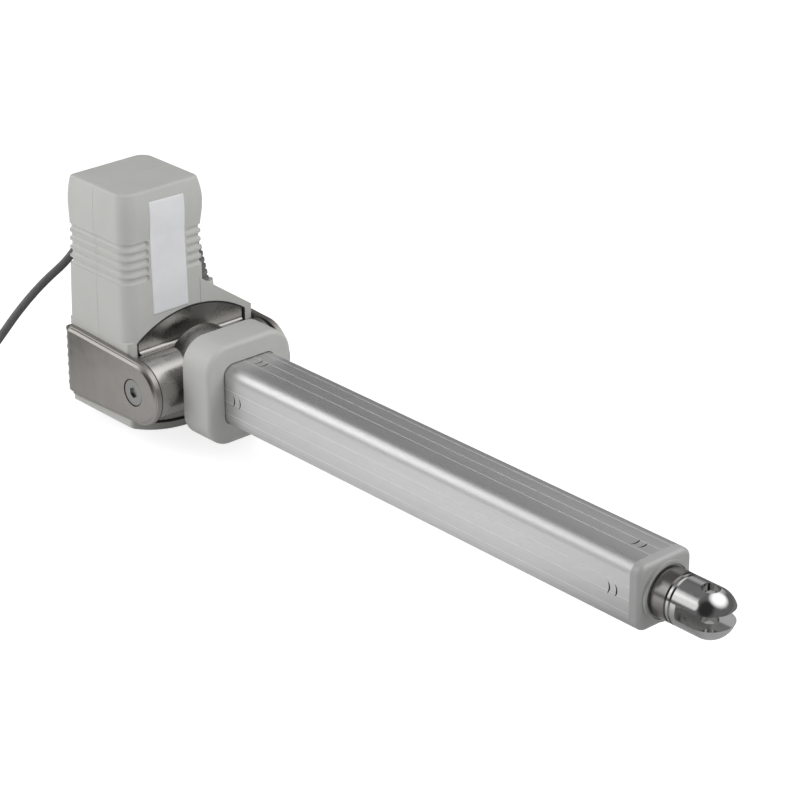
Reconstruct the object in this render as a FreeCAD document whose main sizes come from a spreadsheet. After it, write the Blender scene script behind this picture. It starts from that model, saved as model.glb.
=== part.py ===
import FreeCAD, Part
import math
import os
import re

import Sketcher
from FreeCAD import Vector

# Electric linear actuator with an in-line lift tube and an upright motor.
# Frame: origin at the centre of the rear mounting bore, +X along the spindle towards the
# front fork, +Z up the motor tower and along both mounting bores. Millimetres throughout.
# The push tube is drawn retracted.

SIZES = {
    # Travel
    "stroke": 300,
    # Moulded covers round the motor and gears
    "cover_rear": 19,
    "cover_depth": 62.5,
    "cover_half": 50,
    "cover_side_low": -32.5,
    "cover_belly": 11,
    "cover_wall": 3,
    "cover_edge": 2.5,
    "cover_seam": 31.5,
    "seam_gap": 0.15,
    "ledge_height": 25,
    "shoulder_low": 24.5,
    "shoulder_high": 54.5,
    "shoulder_root": 8,
    # Motor tower
    "tower_right": 12,
    "tower_back_corner": 3,
    "tower_far_corner": 9,
    "tower_left_corner": 9.5,
    "tower_right_corner": 4.5,
    "tower_back_draft": 3.7,
    "tower_front_draft": 0.4,
    "head_base": 91,
    "head_top": 122.5,
    "head_bulge": 1.2,
    "head_back_bulge": 0.3,
    "head_inset": 1.5,
    "head_round": 2.2,
    # Grip grooves round the tower
    "rib_low": 65.4,
    "rib_pitch": 5.7,
    "rib_count": 5,
    "rib_radius": 2.4,
    "rib_depth": 1.5,
    "panel_left": -33.5,
    "panel_right": 0,
    # Arched opening in the front cover
    "arch_half": 43.5,
    "arch_spring": 24,
    "arch_radius": 74,
    "arch_sill": 4.5,
    "gasket_width": 1.1,
    # Die-cast gear housing
    "flange_recess": 1,
    "flange_thickness": 5.5,
    "barrel_ahead": 9,
    "barrel_height": -3,
    "barrel_radius": 20.5,
    "barrel_relief": 0.5,
    "neck_radius": 27,
    "neck_length": 42.5,
    "neck_set": 6,
    "neck_round": 1.5,
    "casting_fillet": 2.5,
    "spigot_length": 31,
    "spigot_fit": 0.1,
    "gear_block_left": -37,
    "gear_block_right": 30,
    "gear_block_half": 30,
    "gear_cover_lap": 1,
    "gear_room": 1,
    "gear_cover_gap": 0.5,
    # Yoke round the back of the covers
    "yoke_recess": 2.5,
    "yoke_recess_play": 0.3,
    "yoke_thickness": 5,
    "yoke_plate": 3.3,
    "yoke_half_height": 21,
    "yoke_rear_half": 23.5,
    "yoke_end_shift": 2.5,
    "yoke_corner": 6.5,
    "yoke_bevel": 2.7,
    "yoke_rib_radius": 2.6,
    "yoke_rib_pitch": 6.3,
    "yoke_rib_count": 7,
    "yoke_rib_end": 4.5,
    "bolt_head_radius": 8.4,
    "bolt_head_height": 2.6,
    "bolt_sink": 3,
    "bolt_play": 0.7,
    "bolt_shank_radius": 5,
    "bolt_shank_length": 16,
    "bolt_socket": 3.75,
    "bolt_socket_depth": 1.8,
    # Collar where the tube meets the gear housing
    "collar_reach": 10.5,
    "collar_length": 25.7,
    "collar_half_width": 33.5,
    "collar_half_height": 33.5,
    "collar_corner": 17,
    "collar_edge": 3,
    "collar_gap": 0.45,
    # Square outer tube
    "tube_half": 20.35,
    "tube_corner": 7,
    "tube_bore_half": 17.8,
    "tube_bore_corner": 5,
    "tube_spare": 60.9,
    "line_pitch": 8.25,
    "line_width": 0.5,
    "line_depth": 0.05,
    "line_shift_top": 3.5,
    "line_shift_side": -2.2,
    "stake_length": 8,
    "stake_bow": 1.1,
    "stake_width": 1.0,
    "stake_depth": 1.2,
    "stake_pitch": 5.5,
    "stake_front": 10.9,
    "stake_rear": 23,
    # End cap and its guides
    "cap_flange": 7.6,
    "cap_edge": 3,
    "cap_plug": 21.4,
    "cap_rim_radius": 18,
    "cap_rim": 1.8,
    "cap_bore_play": 0.5,
    "bush_wall": 1.8,
    "bush_length": 15,
    "bush_inset": 5,
    "seal_length": 5.5,
    "seal_wall": 1.3,
    "seal_lip": 1,
    "running_play": 0.05,
    # Push tube and fork heads
    "push_radius": 15,
    "push_wall": 2.5,
    "push_proud": 10.4,
    "fork_neck_radius": 14,
    "fork_ring": 1.5,
    "fork_ring_gap": 1.6,
    "fork_plug": 23.5,
    "fork_body": 14.6,
    "fork_bore_set": 0.5,
    "fork_nose": 14,
    "fork_slot": 9,
    "fork_slot_reach": 12,
    "fork_bore_radius": 5.25,
    "rear_seat_play": 0.4,
    # Spindle, nut and guide
    "spindle_radius": 7,
    "spindle_seat_radius": 6,
    "spindle_journal_radius": 5,
    "spindle_end_gap": 11.5,
    "nut_radius": 15.7,
    "nut_length": 20,
    "nut_neck": 25,
    "guide_length": 7.5,
    "guide_play": 0.3,
    "guide_start": 0.5,
    "guide_flat": 15.85,
    # Worm wheel and spindle bearing
    "wheel_tip_radius": 16.5,
    "wheel_tooth": 3.3,
    "wheel_teeth": 20,
    "wheel_width": 11,
    "wheel_hub_radius": 9,
    "wheel_hub_rear": 2,
    "wheel_hub_front": 4,
    "lock_nut_radius": 9.2,
    "lock_nut_length": 5,
    "chamber_play": 1.5,
    "bearing_width": 9,
    "bearing_radius": 14,
    "bearing_ring": 2.4,
    "ball_radius": 2.1,
    "ball_play": 0.1,
    "ball_count": 9,
    "spindle_hole_radius": 9,
    "rear_bush_wall": 3,
    "rear_bush_length": 9,
    # Motor
    "motor_base": 30,
    "motor_offset": -20,
    "motor_clear": 0.3,
    "motor_room": 1,
    "motor_room_corner": 5,
    "motor_wall": 1.4,
    "motor_length": 70,
    "motor_floor": 3,
    "motor_bell": 4,
    "motor_bell_boss": 6,
    "motor_boss_radius": 8,
    "motor_bush_radius": 9,
    "magnet_thickness": 2,
    "magnet_end_room": 12,
    "magnet_angle": 140,
    "rotor_gap": 0.6,
    "rotor_end_room": 14,
    "rotor_slots": 12,
    "rotor_slot_depth": 8,
    "rotor_slot_width": 3.2,
    "winding_height": 6.5,
    "winding_radius": 17.5,
    "commutator_radius": 8,
    "commutator_length": 6,
    "brush_width": 5,
    "brush_height": 3.5,
    "holder_radius": 15,
    "shaft_radius": 3,
    "worm_play": 0.3,
    "worm_length": 28,
    "worm_bush_radius": 5.5,
    "worm_bush_length": 6,
    "worm_foot": -28,
    "worm_bore_radius": 8,
    # Gear housing screws
    "screw_radius": 2,
    "screw_head_radius": 3.4,
    "screw_head_height": 3,
    "screw_length": 24,
    "screw_inset": 4,
    # Limit switches in the tube's corner
    "board_width": 9,
    "board_thickness": 1.5,
    "board_distance": 18.65,
    "board_start": 36,
    "board_end_gap": 3.5,
    "switch_length": 12,
    "switch_width": 6,
    "switch_height": 2.3,
    # Strain relief, cable and plug
    "relief_ahead": 47.3,
    "relief_side": 22.5,
    "relief_lean": 10,
    "relief_boss_radius": 8,
    "relief_boss_height": 19,
    "relief_height": 22.7,
    "relief_base_radius": 5.6,
    "relief_top_radius": 3.8,
    "relief_grooves": 5,
    "cable_diameter": 5.5,
    "coil_radius": 30,
    "coil_width": 11.6,
    "coil_height": 12,
    "plug_radius": 6.5,
    "plug_length": 34,
    "plug_tail": 9,
    "plug_run": 14,
}

# The loft of the tower's head: shares of its height, of its bulge and of its inset at the top.
HEAD_SECTIONS = ((0.25, 0.7, 0.0), (0.5, 1.0, 0.0), (0.75, 0.8, 0.3), (1.0, 0.2, 1.0))

# Centre line of the loose cable behind the tower, from the strain relief to the start of the coil.
CABLE_ROUTE = (
    (56.5, 22.5, 80.3),
    (47.8, 22.6, 93.5),
    (34.6, 23.1, 102.1),
    (19.4, 18.2, 103.9),
    (6.1, 10.8, 99.0),
    (-3.4, 1.9, 87.3),
    (-10.8, -7.9, 70.3),
    (-14.5, -22.8, 47.6),
    (-20.0, -41.4, 34.2),
    (-24.5, -59.0, 17.5),
    (-29.0, -75.0, -2.5),
    (-33.5, -91.0, -20.5),
    (-39.0, -110.0, -34.0),
    (-45.0, -131.0, -39.8),
    (-51.0, -152.0, -40.3),
)

doc = FreeCAD.newDocument("linear_actuator")
sheet = doc.addObject("Spreadsheet::Sheet", "sizes")
for row, (alias, size) in enumerate(SIZES.items(), 1):
    sheet.set(f"A{row}", alias)
    sheet.set(f"B{row}", str(size))
    sheet.setAlias(f"B{row}", alias)
doc.recompute()

# Places worked out from the driving dimensions, as expressions.
COVER_FRONT = "(cover_rear + cover_depth)"
YOKE_SEAT = "(cover_rear + yoke_recess)"
YOKE_BACK = f"({YOKE_SEAT} - yoke_plate)"
SEAM = "(cover_rear + cover_seam)"
BELLY_RADIUS = "((cover_half ^ 2 + cover_belly ^ 2) / (2 * cover_belly))"
BELLY_CENTRE = f"(cover_side_low - cover_belly + {BELLY_RADIUS})"
FLOOR = "(cover_side_low - cover_belly)"
FLANGE_FRONT = f"({COVER_FRONT} - flange_recess)"
FLANGE_BACK = f"({FLANGE_FRONT} - flange_thickness)"
BARREL_X = f"({COVER_FRONT} + barrel_ahead)"
YOKE_END = f"({BARREL_X} + yoke_end_shift)"
NECK_REAR = f"({COVER_FRONT} + neck_set)"
TUBE_REAR = f"({COVER_FRONT} + neck_length)"
TUBE_FRONT = f"({TUBE_REAR} + stroke + tube_spare)"
CAP_FRONT = f"({TUBE_FRONT} + cap_flange)"
PUSH_FRONT = f"({CAP_FRONT} + cap_rim + push_proud)"
FORK_BASE = f"({PUSH_FRONT} + 2 * fork_ring_gap + 2 * fork_ring)"
FORK_BORE = f"({FORK_BASE} + fork_body - fork_bore_set)"
PUSH_BORE = "(push_radius - push_wall)"
GUIDE_REAR = f"({TUBE_REAR} + spigot_length + guide_start)"
NUT_FRONT = f"({GUIDE_REAR} - 5)"
MOTOR_X = f"(({YOKE_SEAT} + {COVER_FRONT}) / 2)"
WHEEL_REAR = f"({MOTOR_X} - wheel_width / 2)"
WHEEL_FRONT = f"({MOTOR_X} + wheel_width / 2)"
BEARING_REAR = f"({WHEEL_FRONT} + wheel_hub_front)"
BEARING_FRONT = f"({BEARING_REAR} + bearing_width)"
BALL_CIRCLE = "((spindle_seat_radius + bearing_radius) / 2)"
LOCK_REAR = f"({WHEEL_REAR} - wheel_hub_rear - lock_nut_length)"
GEAR_COVER_REAR = f"({YOKE_SEAT} + cover_wall + gear_cover_gap)"
GEAR_SPLIT = f"({LOCK_REAR} + gear_cover_lap)"
GEAR_COVER_DEPTH = f"({GEAR_SPLIT} - {GEAR_COVER_REAR})"
MOTOR_TOP = "(motor_base + motor_length)"
MAGNET_LOW = "(motor_base + magnet_end_room)"
MAGNET_HIGH = f"({MOTOR_TOP} - magnet_end_room)"
ROTOR_LOW = "(motor_base + rotor_end_room)"
ROTOR_HIGH = f"({MOTOR_TOP} - rotor_end_room)"
MOTOR_RADIUS = f"({FLANGE_BACK} - {MOTOR_X} - motor_clear)"
CAN_BORE = f"({MOTOR_RADIUS} - motor_wall)"
ROTOR_RADIUS = f"({CAN_BORE} - magnet_thickness - rotor_gap)"
WORM_RADIUS = "(-motor_offset - wheel_tip_radius - worm_play)"
BOLT_SEAT = "(cover_half + yoke_thickness - bolt_sink)"
RELIEF_X = "(cover_rear + relief_ahead)"
OUTER_TURN = "(coil_radius + cable_diameter / 2)"

NAMES = re.compile(r"[a-z][a-z_]+[a-z]")
FUNCTIONS = {"sqrt", "sin", "cos", "tan"}


def bound(text):
    """An expression over the sheet's names, as the document's objects read it."""
    return NAMES.sub(lambda found: found[0] if found[0] in FUNCTIONS else f"sizes.{found[0]}", text)


def number(text):
    """The value that an expression has now."""
    return float(sheet.evalExpression(bound(text)))


def bind(item, **properties):
    """Ties an object's properties to expressions."""
    for name, text in properties.items():
        item.setExpression(name, bound(text))


def place(item, x="0", y="0", z="0"):
    """Ties an object's position to expressions."""
    for axis, text in (("x", x), ("y", y), ("z", z)):
        item.setExpression(f"Placement.Base.{axis}", bound(text))


def new_body(label):
    body = doc.addObject("PartDesign::Body", label)
    body.Label = label
    return body


def origin_feature(body, role):
    return next(feature for feature in body.Origin.OriginFeatures if feature.Role == role)


def sketch_on(body, role, label, offset="0"):
    """A sketch on one of the body's own origin planes, moved along the plane's normal."""
    sketch = body.newObject("Sketcher::SketchObject", label)
    sketch.AttachmentSupport = [(origin_feature(body, role), "")]
    sketch.MapMode = "FlatFace"
    sketch.setExpression("AttachmentOffset.Base.z", bound(offset))
    return sketch


def fix(sketch, kind, text, *where):
    """A dimension in a sketch, tied to an expression."""
    index = sketch.addConstraint(Sketcher.Constraint(kind, *where, number(text)))
    sketch.setExpression(f"Constraints[{index}]", bound(text))


def fix_point(sketch, geometry, position, x, y):
    for kind, text, axis in (("DistanceX", x, -2), ("DistanceY", y, -1)):
        if text == "0":
            sketch.addConstraint(Sketcher.Constraint("PointOnObject", geometry, position, axis))
        else:
            fix(sketch, kind, text, -1, 1, geometry, position)


def arc_centre(start, end, radius, left):
    """Centre of the minor arc that bulges to the left or right of the way from start to end."""
    chord = end - start
    side = Vector(-chord.y, chord.x, 0).normalize() * (1 if left else -1)
    return (start + end) / 2 - side * math.sqrt(radius ** 2 - (chord.Length / 2) ** 2)


def outline(sketch, corners, arcs=None):
    """A closed outline whose corners are expressions; arcs gives radius and bulge side by side number."""
    arcs = arcs or {}
    points = [Vector(number(x), number(y), 0) for x, y in corners]
    first_side = sketch.GeometryCount
    ends = []
    for side, start in enumerate(points):
        end = points[(side + 1) % len(points)]
        if side not in arcs:
            sketch.addGeometry(Part.LineSegment(start, end), False)
            ends.append((1, 2))
            continue
        radius, left = arcs[side]
        centre = arc_centre(start, end, number(radius), left)
        first, last = (end, start) if left else (start, end)
        turns = [math.atan2(point.y - centre.y, point.x - centre.x) for point in (first, last)]
        circle = Part.Circle(centre, Vector(0, 0, 1), number(radius))
        sketch.addGeometry(Part.ArcOfCircle(circle, turns[0], turns[1]), False)
        ends.append((2, 1) if left else (1, 2))
    count = len(points)
    for side in range(count):
        following = (side + 1) % count
        meet = (first_side + side, ends[side][1], first_side + following, ends[following][0])
        sketch.addConstraint(Sketcher.Constraint("Coincident", *meet))
    for side, (x, y) in enumerate(corners):
        fix_point(sketch, first_side + side, ends[side][0], x, y)
    for side, (radius, _) in arcs.items():
        fix(sketch, "Radius", radius, first_side + side)


def hexagon(radius):
    """Corners of a regular hexagon about the origin."""
    angles = [60 * corner + 30 for corner in range(6)]
    return [(f"{radius} * cos({angle})", f"{radius} * sin({angle})") for angle in angles]


def circle(sketch, radius, x="0", y="0"):
    index = sketch.addGeometry(
        Part.Circle(Vector(number(x), number(y), 0), Vector(0, 0, 1), number(radius)), False
    )
    fix_point(sketch, index, 3, x, y)
    fix(sketch, "Radius", radius, index)


def rounded_rectangle(sketch, half_x, half_y, radius):
    """A rectangle with round corners about the origin."""
    sides = (f"-({half_x})", half_x, f"-({half_y})", half_y)
    rounded_sides(sketch, sides, (radius, radius, radius, radius))


def rounded_sides(sketch, sides, radii, gap=None):
    """A rectangle from its low and high sides in X and Y, with the corner radii in turn from the high
    corner; gap leaves its high X side open between two places in Y."""
    low_x, high_x, low_y, high_y = sides
    corners = ((high_x, "-", high_y, "-"), (low_x, "+", high_y, "-"),
               (low_x, "+", low_y, "+"), (high_x, "-", low_y, "+"))
    for quarter, ((x, sx, y, sy), radius) in enumerate(zip(corners, radii)):
        middle = (f"({x}) {sx} ({radius})", f"({y}) {sy} ({radius})")
        start = quarter * math.pi / 2
        centre = Vector(number(middle[0]), number(middle[1]), 0)
        ring = Part.Circle(centre, Vector(0, 0, 1), number(radius))
        sketch.addGeometry(Part.ArcOfCircle(ring, start, start + math.pi / 2), False)
        fix_point(sketch, quarter, 3, *middle)
        fix(sketch, "Radius", radius, quarter)
    for quarter in range(3):
        join_arcs(sketch, quarter, quarter + 1)
    if gap is None:
        join_arcs(sketch, 3, 0)
        return
    low, high_end = gap
    for arc, position, stop in ((0, 1, high_end), (3, 2, low)):
        arc_end = sketch.getPoint(arc, position)
        line = sketch.addGeometry(
            Part.LineSegment(arc_end, Vector(number(high_x), number(stop), 0)), False
        )
        sketch.addConstraint(Sketcher.Constraint("Tangent", line, 1, arc, position))
        fix(sketch, "DistanceY", stop, -1, 1, line, 2)


def join_arcs(sketch, first, second):
    """A straight side, tangent to the corner arcs at its two ends."""
    line = sketch.addGeometry(
        Part.LineSegment(sketch.getPoint(first, 2), sketch.getPoint(second, 1)), False
    )
    sketch.addConstraint(Sketcher.Constraint("Tangent", first, 2, line, 1))
    sketch.addConstraint(Sketcher.Constraint("Tangent", line, 2, second, 1))


def pad(body, sketch, length, both_ways=False):
    feature = body.newObject("PartDesign::Pad", f"{sketch.Label}_pad")
    feature.Profile = sketch
    feature.SideType = "Symmetric" if both_ways else "One side"
    bind(feature, Length=length)
    doc.recompute()
    return feature


def pocket(body, sketch, length, reverse=False, both_ways=False):
    """Cuts a sketch's area out of the body; the volume has to drop."""
    before = body.Shape.Volume
    feature = body.newObject("PartDesign::Pocket", f"{sketch.Label}_pocket")
    feature.Profile = sketch
    feature.SideType = "Symmetric" if both_ways else "One side"
    feature.Reversed = reverse
    bind(feature, Length=length)
    doc.recompute()
    if body.Shape.Volume >= before:
        raise RuntimeError(f"{sketch.Label} cuts nothing")
    return feature


def round_edges(body, wanted, radius, kind="PartDesign::Fillet"):
    """Rounds or bevels those of the body's edges for which wanted(edge) is true."""
    base = body.Tip
    names = [f"Edge{i}" for i, edge in enumerate(base.Shape.Edges, 1) if wanted(edge)]
    feature = body.newObject(kind, f"{body.Label}_edges")
    feature.Base = (base, names)
    bind(feature, **{"Size" if kind.endswith("Chamfer") else "Radius": radius})
    doc.recompute()
    return feature


def polar(body, originals, role, count):
    feature = body.newObject("PartDesign::PolarPattern", f"{body.Label}_round")
    feature.Originals = originals
    feature.Axis = (origin_feature(body, role), [""])
    feature.Angle = 360
    bind(feature, Occurrences=count)
    body.Tip = feature
    doc.recompute()
    return feature


def linear(body, originals, role, pitch, count, reverse=False):
    feature = body.newObject("PartDesign::LinearPattern", f"{body.Label}_row")
    feature.Originals = originals
    feature.Direction = (origin_feature(body, role), [""])
    feature.Reversed = reverse
    bind(feature, Length=f"({pitch}) * (({count}) - 1)", Occurrences=count)
    body.Tip = feature
    doc.recompute()
    return feature


def turned(label, corners, arcs=None, axis="X"):
    """A turned piece: corners are places along the axis and radii."""
    return add_turned(new_body(label), label, corners, arcs, axis)


def add_turned(body, label, corners, arcs=None, axis="X"):
    """Adds a turned form to a body."""
    sketch = sketch_on(body, "XY_Plane" if axis == "X" else "XZ_Plane", f"{label}_profile")
    if axis == "Z":
        corners = [(radius, along) for along, radius in corners]
    outline(sketch, corners, arcs)
    feature = body.newObject("PartDesign::Revolution", f"{label}_turn")
    feature.Profile = sketch
    feature.ReferenceAxis = (sketch, ["H_Axis" if axis == "X" else "V_Axis"])
    feature.Angle = 360
    doc.recompute()
    return body


def sleeve(label, start, end, inner, outer, axis="X"):
    """A plain ring between two places along the axis."""
    return turned(label, ((start, inner), (end, inner), (end, outer), (start, outer)), axis=axis)


def boolean(kind, label, base, tool):
    item = doc.addObject(f"Part::{kind}", label)
    item.Label = label
    item.Base = base
    item.Tool = tool
    return item


def fused(label, pieces):
    item = doc.addObject("Part::MultiFuse", label)
    item.Label = label
    item.Shapes = pieces
    return item


def group(label, pieces):
    """Separate solids that share one name."""
    item = doc.addObject("Part::Compound", label)
    item.Label = label
    item.Links = pieces
    return item


def box(label, low, high):
    """A block between two corners given as expressions."""
    item = doc.addObject("Part::Box", label)
    item.Label = label
    for name, a, b in zip(("Length", "Width", "Height"), low, high):
        bind(item, **{name: f"({b}) - ({a})"})
    place(item, *low)
    return item


def at_height(height, axis="z"):
    """A test for edges that lie wholly at one place along an axis."""
    value = number(height)
    return lambda edge: all(
        abs(getattr(vertex.Point, axis) - value) < 1e-3 for vertex in edge.Vertexes
    ) and abs(getattr(edge.CenterOfMass, axis) - value) < 1e-3


def belly_height(half, inset):
    """Height of the covers' rounded bottom, moved in by inset, at half from the middle."""
    return f"({BELLY_CENTRE} - sqrt(({BELLY_RADIUS} - ({inset})) ^ 2 - ({half}) ^ 2))"


# Moulded covers

def arch_outline(sketch, inset):
    """The arched opening's edge, moved in by inset."""
    half = f"(arch_half - ({inset}))"
    radius = f"(arch_radius - ({inset}))"
    centre = "(arch_spring - sqrt(arch_radius ^ 2 - arch_half ^ 2))"
    spring = f"({centre} + sqrt({radius} ^ 2 - {half} ^ 2))"
    sill = f"(arch_sill + ({inset}))"
    low = belly_height(half, sill)
    corners = ((f"-{half}", low), (half, low), (half, spring), (f"-{half}", spring))
    outline(sketch, corners, {0: (f"({BELLY_RADIUS} - {sill})", False), 2: (radius, False)})


def base_outline(sketch, inset):
    """The covers' base seen from the front, moved in by inset."""
    half = f"(cover_half - ({inset}))"
    low = belly_height(half, inset)
    root = f"(shoulder_root - ({inset}))"
    corners = (
        (f"-{half}", low),
        (half, low),
        (half, f"shoulder_low - ({inset})"),
        (root, f"shoulder_high - ({inset})"),
        (root, f"ledge_height - ({inset})"),
        (f"-{half}", f"ledge_height - ({inset})"),
    )
    outline(sketch, corners, {0: (f"({BELLY_RADIUS} - ({inset}))", False)})


def base_form():
    body = new_body("base_form")
    sketch = sketch_on(body, "YZ_Plane", "base_section", "cover_rear")
    base_outline(sketch, "0")
    pad(body, sketch, "cover_depth")
    side = number("cover_half")

    def upright_corner(edge):
        ends = [vertex.Point for vertex in edge.Vertexes]
        upright = len(ends) == 2 and abs(ends[0].x - ends[1].x) + abs(ends[0].y - ends[1].y) < 1e-3
        return upright and abs(abs(ends[0].y) - side) < 1e-3

    round_edges(body, upright_corner, "cover_edge")
    return body


def tower_sides(height_share, swell="0", out="0"):
    """The tower's rear, front, left and right sides: the draft grows with the height up to the head,
    and the head swells less at the rear and left than at the front and right."""
    return (
        f"(cover_rear + {height_share} * tower_back_draft - {swell} * head_back_bulge - ({out}))",
        f"({COVER_FRONT} - {height_share} * tower_front_draft + {swell} * head_bulge + ({out}))",
        f"(-cover_half - {swell} * head_back_bulge - ({out}))",
        f"(tower_right + {swell} * head_bulge + ({out}))",
    )


def tower_radii(out="0"):
    names = ("tower_right_corner", "tower_far_corner", "tower_back_corner", "tower_left_corner")
    return [f"({name} + ({out}))" for name in names]


def tower_form():
    """The tower: a drafted shaft, a bulging head with a round brim, and grooves for the hand."""
    body = new_body("tower_form")
    sections = []
    for level, (height, sides) in enumerate((("0", tower_sides("0")), ("head_base", tower_sides("1")))):
        section = sketch_on(body, "XY_Plane", f"shaft_section_{level}", height)
        rounded_sides(section, sides, tower_radii())
        sections.append(section)
    loft(body, "shaft_loft", sections)
    sections = []
    for level, (share, swell, inset) in enumerate(((0.0, 0.0, 0.0), *HEAD_SECTIONS)):
        height = f"head_base + {share} * (head_top - head_base)"
        section = sketch_on(body, "XY_Plane", f"head_section_{level}", height)
        sides = tower_sides("1", f"{swell}", f"-{inset} * head_inset")
        rounded_sides(section, sides, tower_radii())
        sections.append(section)
    loft(body, "head_loft", sections)
    round_edges(body, at_height("head_top"), "head_round")
    grip_grooves(body)
    return body


def loft(body, label, sections):
    feature = body.newObject("PartDesign::AdditiveLoft", label)
    feature.Profile = sections[0]
    feature.Sections = sections[1:]
    doc.recompute()


def grip_grooves(body):
    """Round-bottomed grooves that run round the tower and stop at the label panel."""
    out = "(rib_radius - rib_depth)"
    middle_share = "((rib_low + rib_pitch * (rib_count - 1) / 2) / head_base)"
    sides = tower_sides(middle_share, "0", out)
    panel = ("panel_left", "panel_right")
    track = sketch_on(body, "XY_Plane", "groove_track", "rib_low")
    rounded_sides(track, sides, tower_radii(out), panel)
    profile = sketch_on(body, "XZ_Plane", "groove_profile", f"-({panel[1]})")
    circle(profile, "rib_radius", sides[1], "rib_low")
    doc.recompute()
    before = body.Shape.Volume
    groove = body.newObject("PartDesign::SubtractivePipe", "groove")
    groove.Profile = profile
    groove.Spine = track
    doc.recompute()
    ends = []
    for index, stop in enumerate(panel):
        end = body.newObject("PartDesign::SubtractiveSphere", f"groove_end_{index}")
        end.AttachmentSupport = [(origin_feature(body, "XY_Plane"), "")]
        end.MapMode = "FlatFace"
        bind(end, Radius="rib_radius")
        for axis, place_text in (("x", sides[1]), ("y", stop), ("z", "rib_low")):
            end.setExpression(f"AttachmentOffset.Base.{axis}", bound(place_text))
        doc.recompute()
        ends.append(end)
    linear(body, [groove, *ends], "Z_Axis", "rib_pitch", "rib_count")
    if body.Shape.Volume >= before:
        raise RuntimeError("the grooves cut nothing")


def cover_spaces():
    """What is hollow inside the covers, the arched opening in front, and the seats of yoke and relief."""
    gears = new_body("gear_space")
    inside = f"({YOKE_SEAT} + cover_wall)"
    sketch = sketch_on(gears, "YZ_Plane", "gear_space_section", inside)
    base_outline(sketch, "cover_wall")
    pad(gears, sketch, f"{COVER_FRONT} - cover_wall - {inside}")
    block = box(
        "block_space",
        (inside, "gear_block_left - gear_room", "-gear_block_half - gear_room"),
        (FLANGE_BACK, "gear_block_right + gear_room", "gear_block_half + gear_room"),
    )
    motor = new_body("motor_space")
    place(motor, MOTOR_X, "motor_offset")
    sketch = sketch_on(motor, "XY_Plane", "motor_space_section")
    half = f"({MOTOR_RADIUS} + motor_room)"
    rounded_rectangle(sketch, half, half, "motor_room_corner")
    pad(motor, sketch, "head_top - cover_wall")
    arch = new_body("arch_space")
    sketch = sketch_on(arch, "YZ_Plane", "arch_section", f"{FLANGE_BACK} - motor_clear")
    arch_outline(sketch, "0")
    pad(arch, sketch, "flange_thickness + 2 * cover_wall")
    band = "(yoke_rear_half + yoke_recess_play)"
    past = "2 * cover_half"
    recess = box(
        "yoke_space",
        (f"cover_rear - {past}", f"-{past}", f"barrel_height - {band}"),
        (YOKE_SEAT, past, f"barrel_height + {band}"),
    )
    seat = doc.addObject("Part::Cylinder", "relief_space")
    bind(seat, Radius="relief_base_radius + guide_play", Height="relief_height")
    seat.Placement = relief_place("relief_boss_height")
    return fused("cover_space", [gears, block, motor, arch, recess, seat])


def relief_place(height):
    """A place up the leaning axis of the strain relief."""
    lean = FreeCAD.Rotation(Vector(0, 1, 0), -number("relief_lean"))
    base = Vector(number(RELIEF_X), number("relief_side"), number("shoulder_low"))
    return FreeCAD.Placement(base + lean.multVec(Vector(0, 0, number(height))), lean)


def relief_boss():
    item = doc.addObject("Part::Cylinder", "relief_boss")
    bind(item, Radius="relief_boss_radius", Height="relief_boss_height")
    item.Placement = relief_place("0")
    return item


def covers():
    outside = fused("cover_outside", [base_form(), tower_form(), relief_boss()])
    shell = boolean("Cut", "cover_shell", outside, cover_spaces())
    reach = "2 * head_top"
    front_side = box(
        "front_side", (f"{SEAM} + seam_gap / 2", f"-{reach}", f"-{reach}"), (reach, reach, reach)
    )
    rear_side = box(
        "rear_side", (f"-{reach}", f"-{reach}", f"-{reach}"), (f"{SEAM} - seam_gap / 2", reach, reach)
    )
    front = boolean("Common", "front_cover", shell, front_side)
    rear = boolean("Common", "rear_cover", shell, rear_side)
    return [front, rear]


def flange_gasket():
    body = new_body("flange_gasket")
    outer = sketch_on(body, "YZ_Plane", "gasket_outer", FLANGE_BACK)
    arch_outline(outer, "0")
    pad(body, outer, "flange_thickness")
    inner = sketch_on(body, "YZ_Plane", "gasket_inner", FLANGE_BACK)
    arch_outline(inner, "gasket_width")
    pocket(body, inner, "flange_thickness", reverse=True)
    return body


# Gear housing

def screw_places():
    """Where the four housing screws stand, across and up."""
    left = "gear_block_left + screw_inset"
    right = "gear_block_right - screw_inset"
    low = "-(gear_block_half - screw_inset)"
    high = "(gear_block_half - screw_inset)"
    return [(left, low), (right, low), (right, high), (left, high)]


def block_outline(sketch):
    corners = (
        ("gear_block_left", "-gear_block_half"),
        ("gear_block_right", "-gear_block_half"),
        ("gear_block_right", "gear_block_half"),
        ("gear_block_left", "gear_block_half"),
    )
    outline(sketch, corners)


def bore(body, label, radius, start, length, y="0", z="0"):
    """A round hole along X."""
    sketch = sketch_on(body, "YZ_Plane", label, start)
    circle(sketch, radius, y, z)
    pocket(body, sketch, length, reverse=True)


def upright_bore(body, label, radius, start, length):
    """A round hole up the motor's axis."""
    sketch = sketch_on(body, "XY_Plane", label, start)
    circle(sketch, radius, MOTOR_X, "motor_offset")
    pocket(body, sketch, length, reverse=True)


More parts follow.
